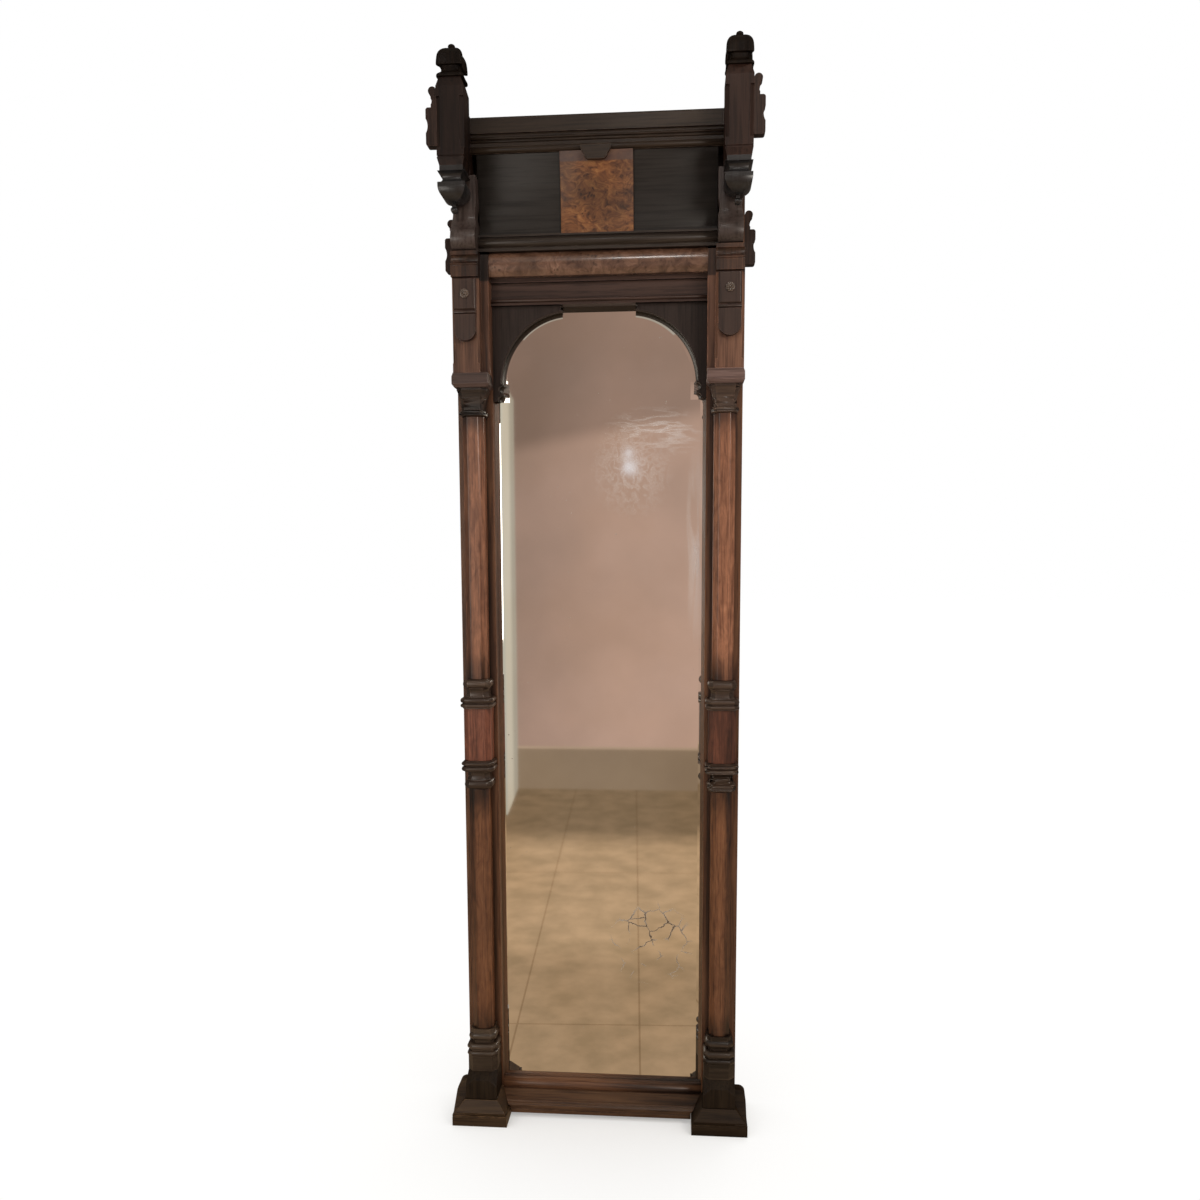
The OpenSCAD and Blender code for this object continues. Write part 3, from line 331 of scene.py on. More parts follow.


# mid is the middle colour, and the grain runs along one axis. broad and fine set the streaks and the pores,
# and mottle curls the figure. Edge wear lightens the edges, partly as real wear and partly as a painted
# highlight on the arrises, and hollows and corners get painted shade. The list of stretches darkens the wood
# along a way from rise to full and lets it clear again from fade to end: painted shade on most pieces, joints
# and damp on the backboards. The side setting darkens the faces that turn away from the front: painted shade.
def timber(name, mid, along, rough=0.42, coat=0.1, gloss=0.35, broad=22.0, fine=230.0, wear_and_edge_light=0.5, shade_and_stain=(),
           figure=1.0, side_shade=1.0, mottle=0.0):
    wood, tree, shell = new_finish(name)
    place = seat(tree)

    def grain(across, lengthwise, detail, bend):
        lay = tree.nodes.new("ShaderNodeMapping")
        lay.inputs["Scale"].default_value = [lengthwise if axis == along else across for axis in "XYZ"]
        tree.links.new(place, lay.inputs["Vector"])
        return cloud(tree, lay.outputs["Vector"], 1.0, detail, 0.62, bend).outputs["Fac"]

    streak = grain(broad, broad * 0.07, 7.0, 0.9)
    pores = grain(fine, fine * 0.035, 4.0, 0.2)
    patch = grain(2.6, 1.4, 3.0, 0.4)
    curl = tree.nodes.new("ShaderNodeMix")
    curl.inputs["Factor"].default_value = mottle
    tree.links.new(streak, curl.inputs["A"])
    tree.links.new(grain(52.0, 18.0, 4.0, 1.6), curl.inputs["B"])
    deep = [c * (1.0 - figure * d) for c, d in zip(mid, (0.55, 0.62, 0.66))]
    pale = [c * (1.0 + figure * d) for c, d in zip(mid, (0.6, 0.75, 0.8))]
    colour = toned(tree, curl.outputs["Result"], (0.3, deep), (0.5, mid), (0.74, pale))
    colour = stained(tree, "MULTIPLY", spread(tree, pores, 0.52, 0.36, 0.0, 0.75), colour, (0.3, 0.24, 0.2))
    colour = stained(tree, "MULTIPLY", spread(tree, patch, 0.42, 0.66, 0.0, 0.55), colour, (0.45, 0.42, 0.4))

    # Edges are lightened toward a paler tone: real wear, and also a painted highlight along the arrises.
    round_off = tree.nodes.new("ShaderNodeBevel")
    round_off.samples = 4
    round_off.inputs["Radius"].default_value = 0.0022
    face = tree.nodes.new("ShaderNodeNewGeometry")
    edge = tree.nodes.new("ShaderNodeVectorMath")
    edge.operation = "DOT_PRODUCT"
    tree.links.new(round_off.outputs["Normal"], edge.inputs[0])
    tree.links.new(face.outputs["Normal"], edge.inputs[1])
    edge_band = spread(tree, edge.outputs["Value"], 0.985, 0.86, 0.0, 1.0)
    broken = spread(tree, grain(46.0, 46.0, 5.0, 0.3), 0.44, 0.6, 0.15, 1.0)
    worn_and_lit_edges = reckon(tree, "MULTIPLY", reckon(tree, "MULTIPLY", edge_band, broken), wear_and_edge_light)
    colour = stained(tree, "MIX", worn_and_lit_edges, colour, [min(1.0, c * 3.0 + 0.01) for c in mid])

    # Ambient occlusion darkens hollows and corners within 16 mm: painted shade.
    nook = tree.nodes.new("ShaderNodeAmbientOcclusion")
    nook.samples = 4
    nook.inputs["Distance"].default_value = 0.016
    hollow_shade = spread(tree, nook.outputs["AO"], 0.85, 0.35, 0.0, 0.7)
    colour = stained(tree, "MULTIPLY", hollow_shade, colour, (0.35, 0.3, 0.27))
    # Each stretch darkens the colour along a way; most are painted shade, those on the backboards are joints
    # and damp.
    for way, rise, full, fade, end in shade_and_stain:
        darkening = reckon(tree, "MULTIPLY", ramp_along(tree, place, way, rise, full, 0.0, 1.0),
                       ramp_along(tree, place, way, fade, end, 1.0, 0.0))
        darkening = reckon(tree, "MULTIPLY", darkening, spread(tree, streak, 0.66, 0.36, 0.35, 1.0))
        colour = stained(tree, "MULTIPLY", darkening, colour, (0.36, 0.33, 0.3))
    # Faces that turn away from the front are darkened as painted shade.
    if side_shade < 1.0:
        facing = tree.nodes.new("ShaderNodeSeparateXYZ")
        tree.links.new(face.outputs["True Normal"], facing.inputs[0])
        turned = spread(tree, reckon(tree, "ABSOLUTE", facing.outputs["Y"]), 0.25, 0.7, 1.0, 0.0)
        colour = stained(tree, "MULTIPLY", turned, colour, (side_shade, side_shade * 0.95, side_shade * 0.92))
    tree.links.new(colour, shell.inputs["Base Color"])

    tree.links.new(reckon(tree, "MULTIPLY_ADD", patch, 0.22, rough - 0.11), shell.inputs["Roughness"])
    embossed(tree, shell, pores, 0.22, 0.0006)
    shell.inputs["Specular IOR Level"].default_value = gloss
    shell.inputs["Coat Weight"].default_value = coat
    shell.inputs["Coat Roughness"].default_value = 0.2
    return wood


def dress(names, finish, soften_edges):
    for name in names:
        piece = node[name]
        piece.data.materials.clear()
        piece.data.materials.append(finish)
        if soften_edges:
            join = piece.modifiers.new("join", "WELD")
            join.merge_threshold = 0.00002
            ease = piece.modifiers.new("ease", "BEVEL")
            ease.width = soften_edges
            ease.segments = 2
            ease.limit_method = "ANGLE"
            ease.angle_limit = math.radians(35)
            ease.harden_normals = True


def both(*pieces):
    return [side + piece for side in ("left_", "right_") for piece in pieces]


# The right foot gets a far darker walnut than the left, as painted shade; the left is also more rubbed at its
# edges.
lit_left_foot_wood = timber("left_foot_walnut", (0.056, 0.03, 0.012), "X", rough=0.48, coat=0.05, gloss=0.25,
                        broad=26.0, fine=200.0, wear_and_edge_light=1.0)
dress(["left_foot"], lit_left_foot_wood, 0.003)
shaded_right_foot_wood = timber("right_foot_walnut", (0.0205, 0.0108, 0.0045), "X", rough=0.52, coat=0.02, gloss=0.15)
dress(["right_foot"], shaded_right_foot_wood, 0.003)
plinth_wood = timber("plinth_walnut", (0.017, 0.0095, 0.0042), "Z", rough=0.52, coat=0.02, gloss=0.15)
dress(both("plinth"), plinth_wood, 0.0012)

# ---- columns ----
# The shafts and the middle die are red-brown walnut, polished. Their bases, collars and capitals are darker
# walnut, each moulding mitred round the eight sides, and the whole column is glued on the front of the stile.

past_low = (-4.0, -3.0)
past_high = (3.0, 4.0)


def dark_near(height, reach):
    return (upward, height - reach, height, height, height + reach)


def dark_below(full, end):
    return (upward, *past_low, full, end)


def dark_left_of(full, end):
    return (rightward, *past_low, full, end)


def dark_right_of(start, full):
    return (rightward, start, full, *past_high)


# Painted shade runs down the outer flank of each column.
outer_left = dark_left_of(-0.292, -0.284)
outer_right = dark_right_of(0.284, 0.294)
upper_shaft_low, upper_shaft_top = [corner[2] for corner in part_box("left_upper_shaft")]
# The upper shafts darken near both ends, and painted shade darkens the left one's outer flank.
upper_shaft_darkening = [dark_near(upper_shaft_low, 0.08), dark_near(upper_shaft_top, 0.05)] * 2 + [outer_left]
shaft_wood = timber("shaft_walnut", (0.288, 0.116, 0.058), "Z", rough=0.32, coat=0.28, gloss=0.45,
                    broad=24.0, fine=300.0, wear_and_edge_light=0.35, shade_and_stain=upper_shaft_darkening, mottle=0.6)
dress(both("upper_shaft"), shaft_wood, 0.0012)
lower_shaft_low, lower_shaft_top = [corner[2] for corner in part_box("left_lower_shaft")]
# The lower shafts darken near both ends, and painted shade darkens both outer flanks.
lower_shaft_darkening = [dark_near(lower_shaft_low, 0.07), dark_near(lower_shaft_top, 0.09)] * 2
lower_shaft_darkening += [outer_left, outer_right]
lower_shaft_wood = timber("lower_shaft_walnut", (0.15, 0.056, 0.022), "Z", rough=0.36, coat=0.2, gloss=0.4,
                          broad=30.0, fine=300.0, wear_and_edge_light=0.35, shade_and_stain=lower_shaft_darkening, mottle=0.6)
dress(both("lower_shaft"), lower_shaft_wood, 0.0012)
# Painted shade makes the right die darker than the left.
die_wood = timber("die_walnut", (0.213, 0.066, 0.0335), "Z", rough=0.36, coat=0.22, gloss=0.42,
                  broad=30.0, fine=300.0, wear_and_edge_light=0.4, shade_and_stain=[dark_right_of(-0.1, 0.1)] * 2, mottle=0.6)
dress(both("waist"), die_wood, 0.0012)
ring_wood = timber("ring_walnut", (0.058, 0.034, 0.022), "X", rough=0.36, coat=0.2, gloss=0.45,
                   broad=30.0, fine=260.0, wear_and_edge_light=1.0)
dress(both("upper_collar"), ring_wood, 0.0013)
lower_ring_wood = timber("lower_ring_walnut", (0.041, 0.0225, 0.0135), "X", rough=0.36, coat=0.18, gloss=0.4,
                         broad=30.0, fine=260.0, wear_and_edge_light=1.0)
dress(both("lower_collar"), lower_ring_wood, 0.0013)
# Painted shade makes the left capital, abacus, pilaster and post darker than the right ones.
left_side = dark_left_of(-0.1, 0.1)
capital_wood = timber("capital_walnut", (0.062, 0.037, 0.025), "X", rough=0.36, coat=0.2, gloss=0.4,
                      broad=30.0, fine=260.0, wear_and_edge_light=1.0, shade_and_stain=[left_side] * 2)
dress(both("capital"), capital_wood, 0.0008)
# The base rings darken toward their foot, and painted shade makes the right ones darker.
base_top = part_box("left_column_base")[1][2]
base_ring_wood = timber("base_ring_walnut", (0.051, 0.031, 0.018), "X", rough=0.4, coat=0.15, gloss=0.4,
                        broad=30.0, fine=260.0, wear_and_edge_light=1.0,
                        shade_and_stain=[dark_below(base_top - 0.07, base_top - 0.046), dark_right_of(0.0, 0.2)])
dress(both("column_base"), base_ring_wood, 0.0013)
# Painted shade makes the left abacus darker.
abacus_wood = timber("abacus_walnut", (0.13, 0.076, 0.064), "X", rough=0.4, coat=0.15, gloss=0.4,
                     shade_and_stain=[left_side])
dress(both("abacus"), abacus_wood, 0.0014)

# ---- stiles and rails ----
# The frame itself: two long stiles and a bottom and a top rail of walnut, tenoned together, with a rebate
# behind for the plate. The base moulding is planted on the bottom rail between the feet.


def dark_above(start, full):
    return (upward, start, full, *past_high)


# The stiles darken toward their top, and painted shade darkens them beside the columns.
beside_columns = [(rightward, -0.262, -0.256, -0.252, -0.244), (rightward, 0.244, 0.252, 0.256, 0.262)]
stile_wood = timber("stile_walnut", (0.138, 0.056, 0.0235), "Z", coat=0.12,
                    shade_and_stain=[dark_above(1.96, 2.16)] * 2 + beside_columns)
dress(both("stile"), stile_wood, 0.001)
# Painted shade darkens the bottom rail and the base moulding toward their right end.
right_end = dark_right_of(-0.04, 0.2)
bottom_wood = timber("bottom_rail_walnut", (0.136, 0.057, 0.025), "X", gloss=0.32, shade_and_stain=[right_end] * 3)
dress(["bottom_rail"], bottom_wood, 0.001)
# Its faces that turn from the front are darkened as painted shade.
top_wood = timber("top_rail_walnut", (0.038, 0.018, 0.0125), "X", gloss=0.3, side_shade=0.3)
dress(["top_rail"], top_wood, 0.001)
base_wood = timber("base_walnut", (0.09, 0.0425, 0.0195), "X", rough=0.46, coat=0.06, gloss=0.28,
                   shade_and_stain=[right_end])
dress(["base_moulding"], base_wood, 0.001)
# Their faces that turn from the front are darkened as painted shade.
spandrel_wood = timber("spandrel_walnut", (0.02, 0.0115, 0.009), "Z", coat=0.08, gloss=0.25, wear_and_edge_light=0.12,
                       figure=0.6, side_shade=0.3)
dress(both("spandrel"), spandrel_wood, 0.0008)

# ---- pilasters, consoles and posts ----
# Over each capital a square pilaster carries a sawn console, and the console carries a post with a drop below
# it and a carved finial on top. Small scrolled ears of thin walnut are glued beside the post and the stile.

# The pilasters darken over the bands at their top, and painted shade makes the left one darker.
band_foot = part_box("left_pilaster")[1][2] - 0.054
pilaster_wood = timber("pilaster_walnut", (0.185, 0.082, 0.045), "Z", coat=0.12, wear_and_edge_light=0.9,
                       shade_and_stain=[dark_above(band_foot - 0.004, band_foot)] * 3 + [left_side])
dress(both("pilaster"), pilaster_wood, 0.001)
tablet_wood = timber("tablet_walnut", (0.036, 0.0175, 0.012), "Z", rough=0.36, coat=0.2, gloss=0.4, wear_and_edge_light=0.9)
dress(both("tablet", "teardrop") + ["buttons"], tablet_wood, 0.0008)
console_wood = timber("console_walnut", (0.05, 0.034, 0.029), "Z", rough=0.4, figure=0.7)
dress(both("console"), console_wood, 0.001)
drop_wood = timber("drop_walnut", (0.015, 0.014, 0.0145), "Z", rough=0.34, coat=0.18, gloss=0.4, figure=0.7)
dress(both("post_drop"), drop_wood, 0.001)
# Painted shade makes the left post darker.
post_wood = timber("post_walnut", (0.029, 0.0125, 0.008), "Z", rough=0.46, coat=0.03, gloss=0.2, figure=0.8,
                   shade_and_stain=[left_side])
dress(both("post"), post_wood, 0.001)
ear_wood = timber("ear_walnut", (0.034, 0.0165, 0.011), "Z", rough=0.46, coat=0.04, gloss=0.22,
                  broad=40.0, fine=260.0, wear_and_edge_light=0.8)
dress(both("upper_ear", "lower_ear"), ear_wood, 0.0016)

# ---- rosettes ----
# On the middle of each tablet sits a small turned disc of walnut with eight carved petals round a raised eye.
# It is glued on, well polished and worn at its edges, and its paler walnut is partly a painted highlight.

disc_r = 0.0098
disc_t = 0.0024
petals = 8
petal_r = 0.0033
petal_out = 0.0062
eye_r = 0.0034

tablet_low, tablet_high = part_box("left_tablet")
disc_x = (tablet_low[0] + tablet_high[0]) / 2
disc_z = (tablet_low[2] + tablet_high[2]) / 2
disc_back = (disc_x, tablet_low[1], disc_z)
petal_middle = (disc_x, tablet_low[1] - 0.0026, disc_z + petal_out)
eye_middle = (disc_x, tablet_low[1] - 0.0032, disc_z)
bpy.ops.object.select_all(action="DESELECT")
bpy.ops.mesh.primitive_cylinder_add(vertices=40, radius=disc_r, depth=disc_t,
                                    location=(disc_x, tablet_low[1] - disc_t / 2, disc_z), rotation=upright)
rosette = bpy.context.active_object
rosette.name = "left_rosette"
bpy.ops.object.transform_apply(location=True, rotation=True, scale=True)
bpy.ops.object.mode_set(mode="EDIT")
bpy.ops.mesh.select_all(action="SELECT")
bpy.ops.mesh.bevel(offset=0.0007, segments=3)
for petal in range(petals):
    bpy.ops.mesh.select_all(action="DESELECT")
    bpy.ops.mesh.primitive_uv_sphere_add(segments=14, ring_count=10, radius=petal_r, location=petal_middle)
    bpy.ops.transform.resize(value=(0.72, 0.62, 1.05), center_override=petal_middle)
    bpy.ops.transform.rotate(value=math.radians(360 / petals * petal), orient_axis="Y",
                             center_override=disc_back)
bpy.ops.mesh.select_all(action="DESELECT")
bpy.ops.mesh.primitive_uv_sphere_add(segments=20, ring_count=12, radius=eye_r, location=eye_middle)
bpy.ops.transform.resize(value=(1.0, 0.9, 1.0), center_override=eye_middle)
bpy.ops.object.mode_set(mode="OBJECT")
bpy.ops.object.shade_smooth_by_angle(angle=math.radians(40))
# The rosette's walnut is paler than the tablet's, partly as a painted highlight.
rosette_wood = timber("rosette_walnut", (0.075, 0.05, 0.036), "Z", rough=0.3, coat=0.5, gloss=0.5, wear_and_edge_light=1.0)
rosette.data.materials.clear()
rosette.data.materials.append(rosette_wood)
bpy.ops.object.duplicate(linked=False)
other_rosette = bpy.context.active_object
other_rosette.name = "right_rosette"
other_rosette.location = (-2 * disc_x, 0.0, 0.0)
bpy.ops.object.transform_apply(location=True, rotation=False, scale=False)
for piece in (rosette, other_rosette):
    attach(piece, "root")
    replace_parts(piece, "buttons")

# ---- finials ----
# Each finial is carved from one walnut block: a cushion and a square neck, then a bell with a flat panel on
# each face and a leaf folded over each corner, its tip hanging free over the neck, and a little ball on top.

carved_wood = timber("carved_walnut", (0.0085, 0.0044, 0.0022), "Z", rough=0.5, coat=0.01, gloss=0.1,
                     broad=40.0, fine=260.0, wear_and_edge_light=0.8)
dress(both("finial"), carved_wood, 0.0012)

# in millimetres: height over the post, half width on the face, reach of the corner, how far the panel lies
# back, and how far the tip of the leaf hangs
finial_rows = [
    (0.0, 27.0, 37.5, 0.0, 0.0), (1.2, 28.4, 39.6, 0.0, 0.0), (5.0, 28.6, 39.8, 0.0, 0.0),
    (8.0, 26.6, 37.0, 0.0, 0.0), (11.5, 21.6, 29.6, 0.0, 0.0), (15.0, 19.4, 26.2, 0.0, 0.0),
    (23.0, 18.8, 25.4, 0.0, 0.0), (26.0, 19.2, 26.4, 0.0, 0.0), (25.6, 24.2, 40.6, 0.6, 4.0),
    (27.4, 25.8, 42.2, 1.6, 4.0), (32.0, 26.2, 41.4, 2.2, 2.6), (38.0, 26.8, 40.0, 2.4, 1.2),
    (44.0, 26.8, 38.4, 2.4, 0.4), (50.0, 25.4, 35.4, 2.2, 0.0), (56.0, 21.8, 30.0, 1.8, 0.0),
    (60.5, 16.4, 22.6, 1.2, 0.0), (63.4, 10.4, 14.2, 0.6, 0.0), (64.8, 6.4, 8.2, 0.0, 0.0),
    (65.8, 5.0, 5.2, 0.0, 0.0), (67.2, 7.0, 7.0, 0.0, 0.0), (69.4, 7.9, 7.9, 0.0, 0.0),
    (71.6, 7.3, 7.3, 0.0, 0.0), (73.4, 5.4, 5.4, 0.0, 0.0), (74.6, 2.6, 2.6, 0.0, 0.0),
]
ball_from = 66.0
finial_low, finial_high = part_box("left_finial")
finial_foot = finial_low[2]


def carve_finial(name, x, y):
    bpy.ops.object.select_all(action="DESELECT")
    bpy.ops.mesh.primitive_circle_add(vertices=32, radius=0.01, fill_type="NGON", location=(x, y, finial_foot))
    block = bpy.context.active_object
    block.name = name
    bpy.ops.object.transform_apply(location=True, rotation=True, scale=True)
    bpy.ops.object.mode_set(mode="EDIT")
    bpy.ops.mesh.select_all(action="SELECT")
    height = 0.0
    for up, half, corner, sunk, hang in finial_rows:
        if up:
            rise = (0.0, 0.0, (up - height) / 1000)
            bpy.ops.mesh.extrude_region_move(TRANSFORM_OT_translate={"value": rise})
        height = up
        bpy.ops.object.mode_set(mode="OBJECT")
        for vertex in [v for v in block.data.vertices if v.select]:
            turn = math.atan2(vertex.co.y - y, vertex.co.x - x)
            off = abs((turn + math.pi / 4) % (math.pi / 2) - math.pi / 4)
            droop = 0.0
            if up > ball_from:
                reach = half
            elif off > math.radians(40):
                reach = corner
                droop = hang
            elif off > math.radians(30):
                reach = half / math.cos(off) * 0.75 + corner * 0.25
                droop = hang * 0.4
            else:
                reach = (half - (sunk if off < math.radians(28) else 0.0)) / math.cos(off)
            vertex.co = (x + math.cos(turn) * reach / 1000, y + math.sin(turn) * reach / 1000,
                         finial_foot + (up - droop) / 1000)
        bpy.ops.object.mode_set(mode="EDIT")
    bpy.ops.mesh.select_all(action="SELECT")
    bpy.ops.mesh.normals_make_consistent(inside=False)
    bpy.ops.object.mode_set(mode="OBJECT")
    soften = block.modifiers.new("soften", "SUBSURF")
    soften.levels = 2
    soften.render_levels = 2
    bpy.ops.object.modifier_apply(modifier="soften")
    bpy.ops.object.shade_smooth_by_angle(angle=math.radians(50))
    block.data.materials.clear()
    block.data.materials.append(carved_wood)
    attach(block, "root")
    return block


finial_x = (finial_low[0] + finial_high[0]) / 2
finial_y = (finial_low[1] + finial_high[1]) / 2
for side, across in (("left", finial_x), ("right", -finial_x)):
    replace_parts(carve_finial(f"{side}_carved_finial", across, finial_y), f"{side}_finial")

# ---- head ----
# A coved panel runs up from the shelf moulding to the cornice board, both worked in dark walnut. The roll over
# the frieze and the square tablet in the cove are laid with burr veneer and carry the brightest polish.

cornice_wood = timber("cornice_walnut", (0.0245, 0.0135, 0.007), "X", rough=0.44, coat=0.05, gloss=0.24,
                      wear_and_edge_light=0.9, figure=0.7)
dress(["cornice", "cornice_drop"], cornice_wood, 0.001)
shelf_wood = timber("shelf_walnut", (0.025, 0.0165, 0.0115), "X", gloss=0.3)
dress(["shelf_moulding"], shelf_wood, 0.001)
# Painted shade darkens the cove toward its right end.
cove_wood = timber("cove_walnut", (0.0175, 0.0138, 0.0112), "X", rough=0.46, coat=0.04, gloss=0.26,
                   figure=0.35, shade_and_stain=[dark_right_of(-0.05, 0.25)])
dress(["cove_panel"], cove_wood, 0.0008)


# deep, mid and pale are the tones of the burr, size sets its scale, and flat stretches it. strip is the height
# where a plain dull strip starts along the top edge, and its tone.
def burr(name, deep, mid, pale, rough, coat, size=42.0, flat=(1.0, 1.0, 1.0), strip=None):
    veneer, tree, shell = new_finish(name)
    place = seat(tree)
    drift = tree.nodes.new("ShaderNodeVectorMath")
    drift.operation = "MULTIPLY_ADD"
    drift.inputs[1].default_value = (0.05, 0.05, 0.05)
    tree.links.new(cloud(tree, place, 16.0, 3.0).outputs["Color"], drift.inputs[0])
    tree.links.new(place, drift.inputs[2])
    curled = drift.outputs["Vector"]
    press = tree.nodes.new("ShaderNodeMapping")
    press.inputs["Scale"].default_value = flat
    tree.links.new(curled, press.inputs["Vector"])
    figure = cloud(tree, press.outputs["Vector"], size, 9.0, 0.68, 0.9).outputs["Fac"]
    colour = toned(tree, figure, (0.34, deep), (0.5, mid), (0.68, pale))
    eyes = tree.nodes.new("ShaderNodeTexVoronoi")
    eyes.inputs["Scale"].default_value = 95.0
    tree.links.new(curled, eyes.inputs["Vector"])
    cluster = cloud(tree, place, 20.0, 2.0).outputs["Fac"]
    knots = reckon(tree, "MULTIPLY", spread(tree, eyes.outputs["Distance"], 0.16, 0.34, 1.0, 0.0),
                   spread(tree, cluster, 0.5, 0.62, 0.0, 0.85))
    colour = stained(tree, "MIX", knots, colour, [c * 0.5 for c in deep])
    broad = cloud(tree, curled, 15.0, 3.0).outputs["Fac"]
    colour = dimmed(tree, colour, spread(tree, broad, 0.35, 0.62, 0.68, 1.35))
    if strip:
        strip_low, strip_tone = strip
        band = ramp_along(tree, place, upward, strip_low, strip_low + 0.004, 0.0, 0.8)
        colour = stained(tree, "MIX", band, colour, strip_tone)
    tree.links.new(colour, shell.inputs["Base Color"])
    embossed(tree, shell, figure, 0.12, 0.0004)
    tree.links.new(reckon(tree, "MULTIPLY_ADD", cluster, 0.16, rough - 0.08), shell.inputs["Roughness"])
    shell.inputs["Specular IOR Level"].default_value = 0.35
    shell.inputs["Coat Weight"].default_value = coat
    shell.inputs["Coat Roughness"].default_value = 0.12
    return veneer


roll_burr = burr("roll_burr", (0.045, 0.02, 0.012), (0.1, 0.049, 0.03), (0.165, 0.088, 0.055), 0.3, 0.7)
dress(["frieze_roll"], roll_burr, 0.0)
tablet_burr = burr("tablet_burr", (0.03, 0.0095, 0.0022), (0.118, 0.04, 0.0105), (0.225, 0.094, 0.027),
                   0.5, 0.04, size=60.0, flat=(0.75, 1.0, 1.3), strip=(2.172, (0.062, 0.036, 0.03)))
dress(["centre_tablet"], tablet_burr, 0.0008)

# ---- mirror plate ----
# One silvered plate with an arched and cusped top, 6 mm thick, with a bevel ground all round it. It has aged:
# the silvering is specked and has cracked in one place low on the right, and cleaning has left swirls and a
# cloudy patch high on the right, whose pale bluish film is also a painted glare, and rubs down the right edge.

plate_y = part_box("mirror_glass")[0][1]
plate, plate_tree, plate_shell = new_finish("silvered_plate")
plate_place = seat(plate_tree)


def plate_cloud(size, detail):
    return cloud(plate_tree, plate_place, size, detail).outputs["Fac"]


def plate_times(first, second):
    return reckon(plate_tree, "MULTIPLY", first, second)


def plate_patch(x, z, wide, high, soft):
    lay = plate_tree.nodes.new("ShaderNodeMapping")
    lay.vector_type = "TEXTURE"
    lay.inputs["Location"].default_value = (x, plate_y, z)
    lay.inputs["Scale"].default_value = (wide, 1.0, high)
    plate_tree.links.new(plate_place, lay.inputs["Vector"])
    away = plate_tree.nodes.new("ShaderNodeVectorMath")
    away.operation = "LENGTH"
    plate_tree.links.new(lay.outputs["Vector"], away.inputs[0])
    return spread(plate_tree, away.outputs["Value"], 1.0 - soft, 1.0, 1.0, 0.0)


def plate_scratches(size, bend, turn, stretch, wide=0.075):
    lay = plate_tree.nodes.new("ShaderNodeMapping")
    lay.inputs["Rotation"].default_value = (0.0, turn, 0.0)
    lay.inputs["Scale"].default_value = stretch
    plate_tree.links.new(plate_place, lay.inputs["Vector"])
    swirl = cloud(plate_tree, lay.outputs["Vector"], size, 3.0, 0.5, bend).outputs["Fac"]
    line = reckon(plate_tree, "ABSOLUTE", reckon(plate_tree, "SUBTRACT", swirl, 0.5))
    return spread(plate_tree, line, 0.0, wide, 1.0, 0.0)


crack_way = plate_tree.nodes.new("ShaderNodeVectorMath")
crack_way.operation = "MULTIPLY_ADD"
crack_way.inputs[1].default_value = (0.022, 0.0, 0.022)
plate_tree.links.new(cloud(plate_tree, plate_place, 45.0, 3.0).outputs["Color"], crack_way.inputs[0])
plate_tree.links.new(plate_place, crack_way.inputs[2])
cracked = plate_tree.nodes.new("ShaderNodeTexVoronoi")
cracked.feature = "DISTANCE_TO_EDGE"
cracked.inputs["Scale"].default_value = 21.0
plate_tree.links.new(crack_way.outputs["Vector"], cracked.inputs["Vector"])
crack_line = spread(plate_tree, cracked.outputs["Distance"], 0.01, 0.034, 1.0, 0.0)
crack_part = spread(plate_tree, plate_cloud(11.0, 2.0), 0.44, 0.5, 0.0, 1.0)
crazing = plate_times(plate_times(crack_line, crack_part), plate_patch(0.118, 0.413, 0.105, 0.105, 0.35))
specks = plate_times(spread(plate_tree, plate_cloud(150.0, 2.0), 0.73, 0.77, 0.0, 0.9),
                     spread(plate_tree, plate_cloud(5.0, 3.0), 0.5, 0.62, 0.0, 1.0))
lost = reckon(plate_tree, "MAXIMUM", crazing, specks)

# The pale bluish swirls high on the right are cleaning marks and also a painted glare, placed where a lamp's
# glare would catch them.
swirls_and_painted_glare = plate_times(plate_scratches(54.0, 0.8, 0.5, (1.0, 1.0, 0.85), 0.11),
                   plate_patch(0.075, 1.53, 0.1, 0.12, 0.75))
swirls_and_painted_glare = spread(plate_tree, swirls_and_painted_glare, 0.0, 1.0, 0.0, 0.6)
arcs = plate_times(plate_scratches(34.0, 0.5, 0.3, (0.32, 1.0, 1.7)), plate_patch(0.13, 1.61, 0.13, 0.06, 0.8))
edge_rubs = plate_times(plate_scratches(36.0, 0.6, 0.04, (1.2, 1.0, 0.1), 0.12),
                        plate_patch(0.222, 1.36, 0.03, 0.24, 0.8))
haze_and_painted_glare = reckon(plate_tree, "MAXIMUM", reckon(plate_tree, "MAXIMUM", swirls_and_painted_glare, arcs), edge_rubs)

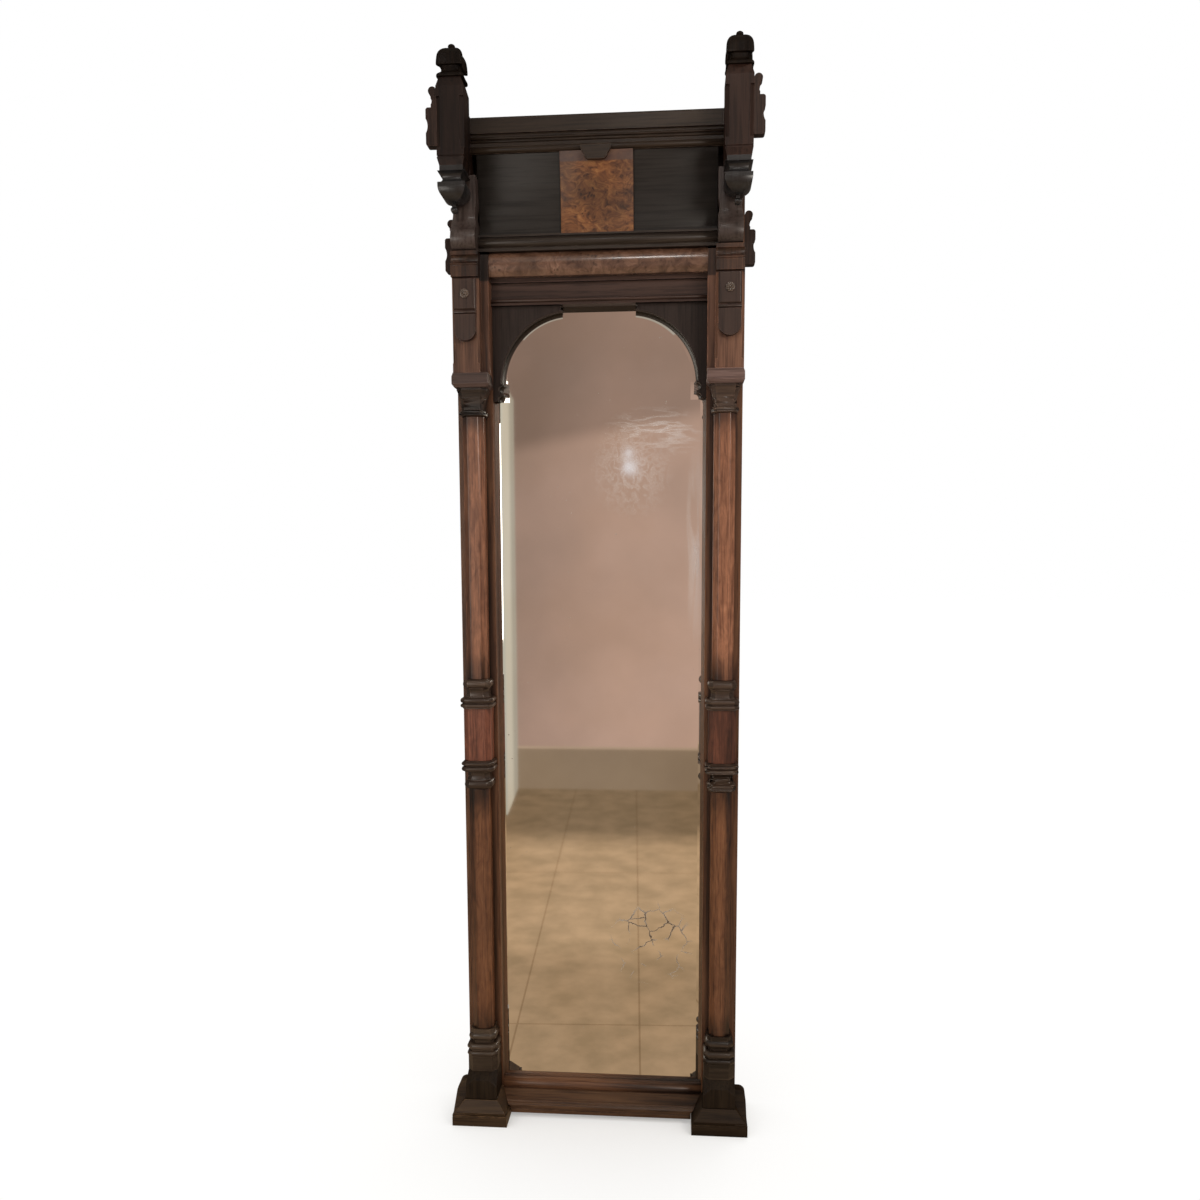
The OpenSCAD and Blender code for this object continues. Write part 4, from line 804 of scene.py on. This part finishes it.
silver = stained(plate_tree, "MIX", spread(plate_tree, plate_cloud(3.0, 4.0), 0.4, 0.65, 0.0, 1.0),
                 (0.86, 0.84, 0.8), (0.82, 0.78, 0.71))
silver = stained(plate_tree, "MIX", lost, silver, (0.13, 0.085, 0.045))
silver = stained(plate_tree, "MIX", spread(plate_tree, haze_and_painted_glare, 0.0, 1.0, 0.0, 0.4), silver, (0.84, 0.87, 0.92))
plate_tree.links.new(silver, plate_shell.inputs["Base Color"])
clouded = reckon(plate_tree, "MULTIPLY_ADD", plate_patch(0.08, 1.53, 0.09, 0.12, 0.9), 0.05, 0.03)
plate_tree.links.new(reckon(plate_tree, "MULTIPLY_ADD", lost, 0.5, clouded), plate_shell.inputs["Roughness"])
metal = reckon(plate_tree, "SUBTRACT", spread(plate_tree, lost, 0.0, 1.0, 1.0, 0.35),
               spread(plate_tree, haze_and_painted_glare, 0.0, 1.0, 0.0, 0.3))
plate_tree.links.new(metal, plate_shell.inputs["Metallic"])
dress(["mirror_glass"], plate, 0.0)

# ---- back ----
# Three boards of bare pine, darkened at their joints and by damp along their lower edges, close the back.
# They lie in the rebate of the stiles, held by iron screws that have rusted. Small pine blocks in front of
# them hold the plate.

pine_tones = {"lower": (0.2, 0.128, 0.072), "middle": (0.27, 0.18, 0.108), "upper": (0.23, 0.155, 0.094)}
for board, pine in pine_tones.items():
    board_low, board_top = [corner[2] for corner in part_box(f"{board}_backboard")]
    joints = [dark_above(board_top - 0.012, board_top), dark_below(board_low, board_low + 0.014)] * 2
    damp = dark_below(board_low + 0.05, board_low + 0.16)
    board_wood = timber(f"{board}_pine", pine, "X", rough=0.7, coat=0.0, gloss=0.2, broad=11.0, fine=210.0,
                        wear_and_edge_light=0.3, shade_and_stain=joints + [damp], figure=0.5)
    dress([f"{board}_backboard"], board_wood, 0.0)
block_wood = timber("block_pine", (0.25, 0.165, 0.1), "Z", rough=0.7, coat=0.0, gloss=0.2,
                    broad=15.0, fine=190.0, wear_and_edge_light=0.3)
dress(["glazing_blocks"], block_wood, 0.0006)

iron, iron_tree, iron_shell = new_finish("screw_iron")
rust = cloud(iron_tree, seat(iron_tree), 420.0, 5.0).outputs["Fac"]
iron_tree.links.new(toned(iron_tree, rust, (0.4, (0.05, 0.045, 0.042)), (0.65, (0.14, 0.06, 0.026))),
                    iron_shell.inputs["Base Color"])
iron_tree.links.new(spread(iron_tree, rust, 0.35, 0.65, 0.45, 0.85), iron_shell.inputs["Roughness"])
embossed(iron_tree, iron_shell, rust, 0.4, 0.0004)
iron_shell.inputs["Metallic"].default_value = 0.7
dress(["back_screws"], iron, 0.0003)
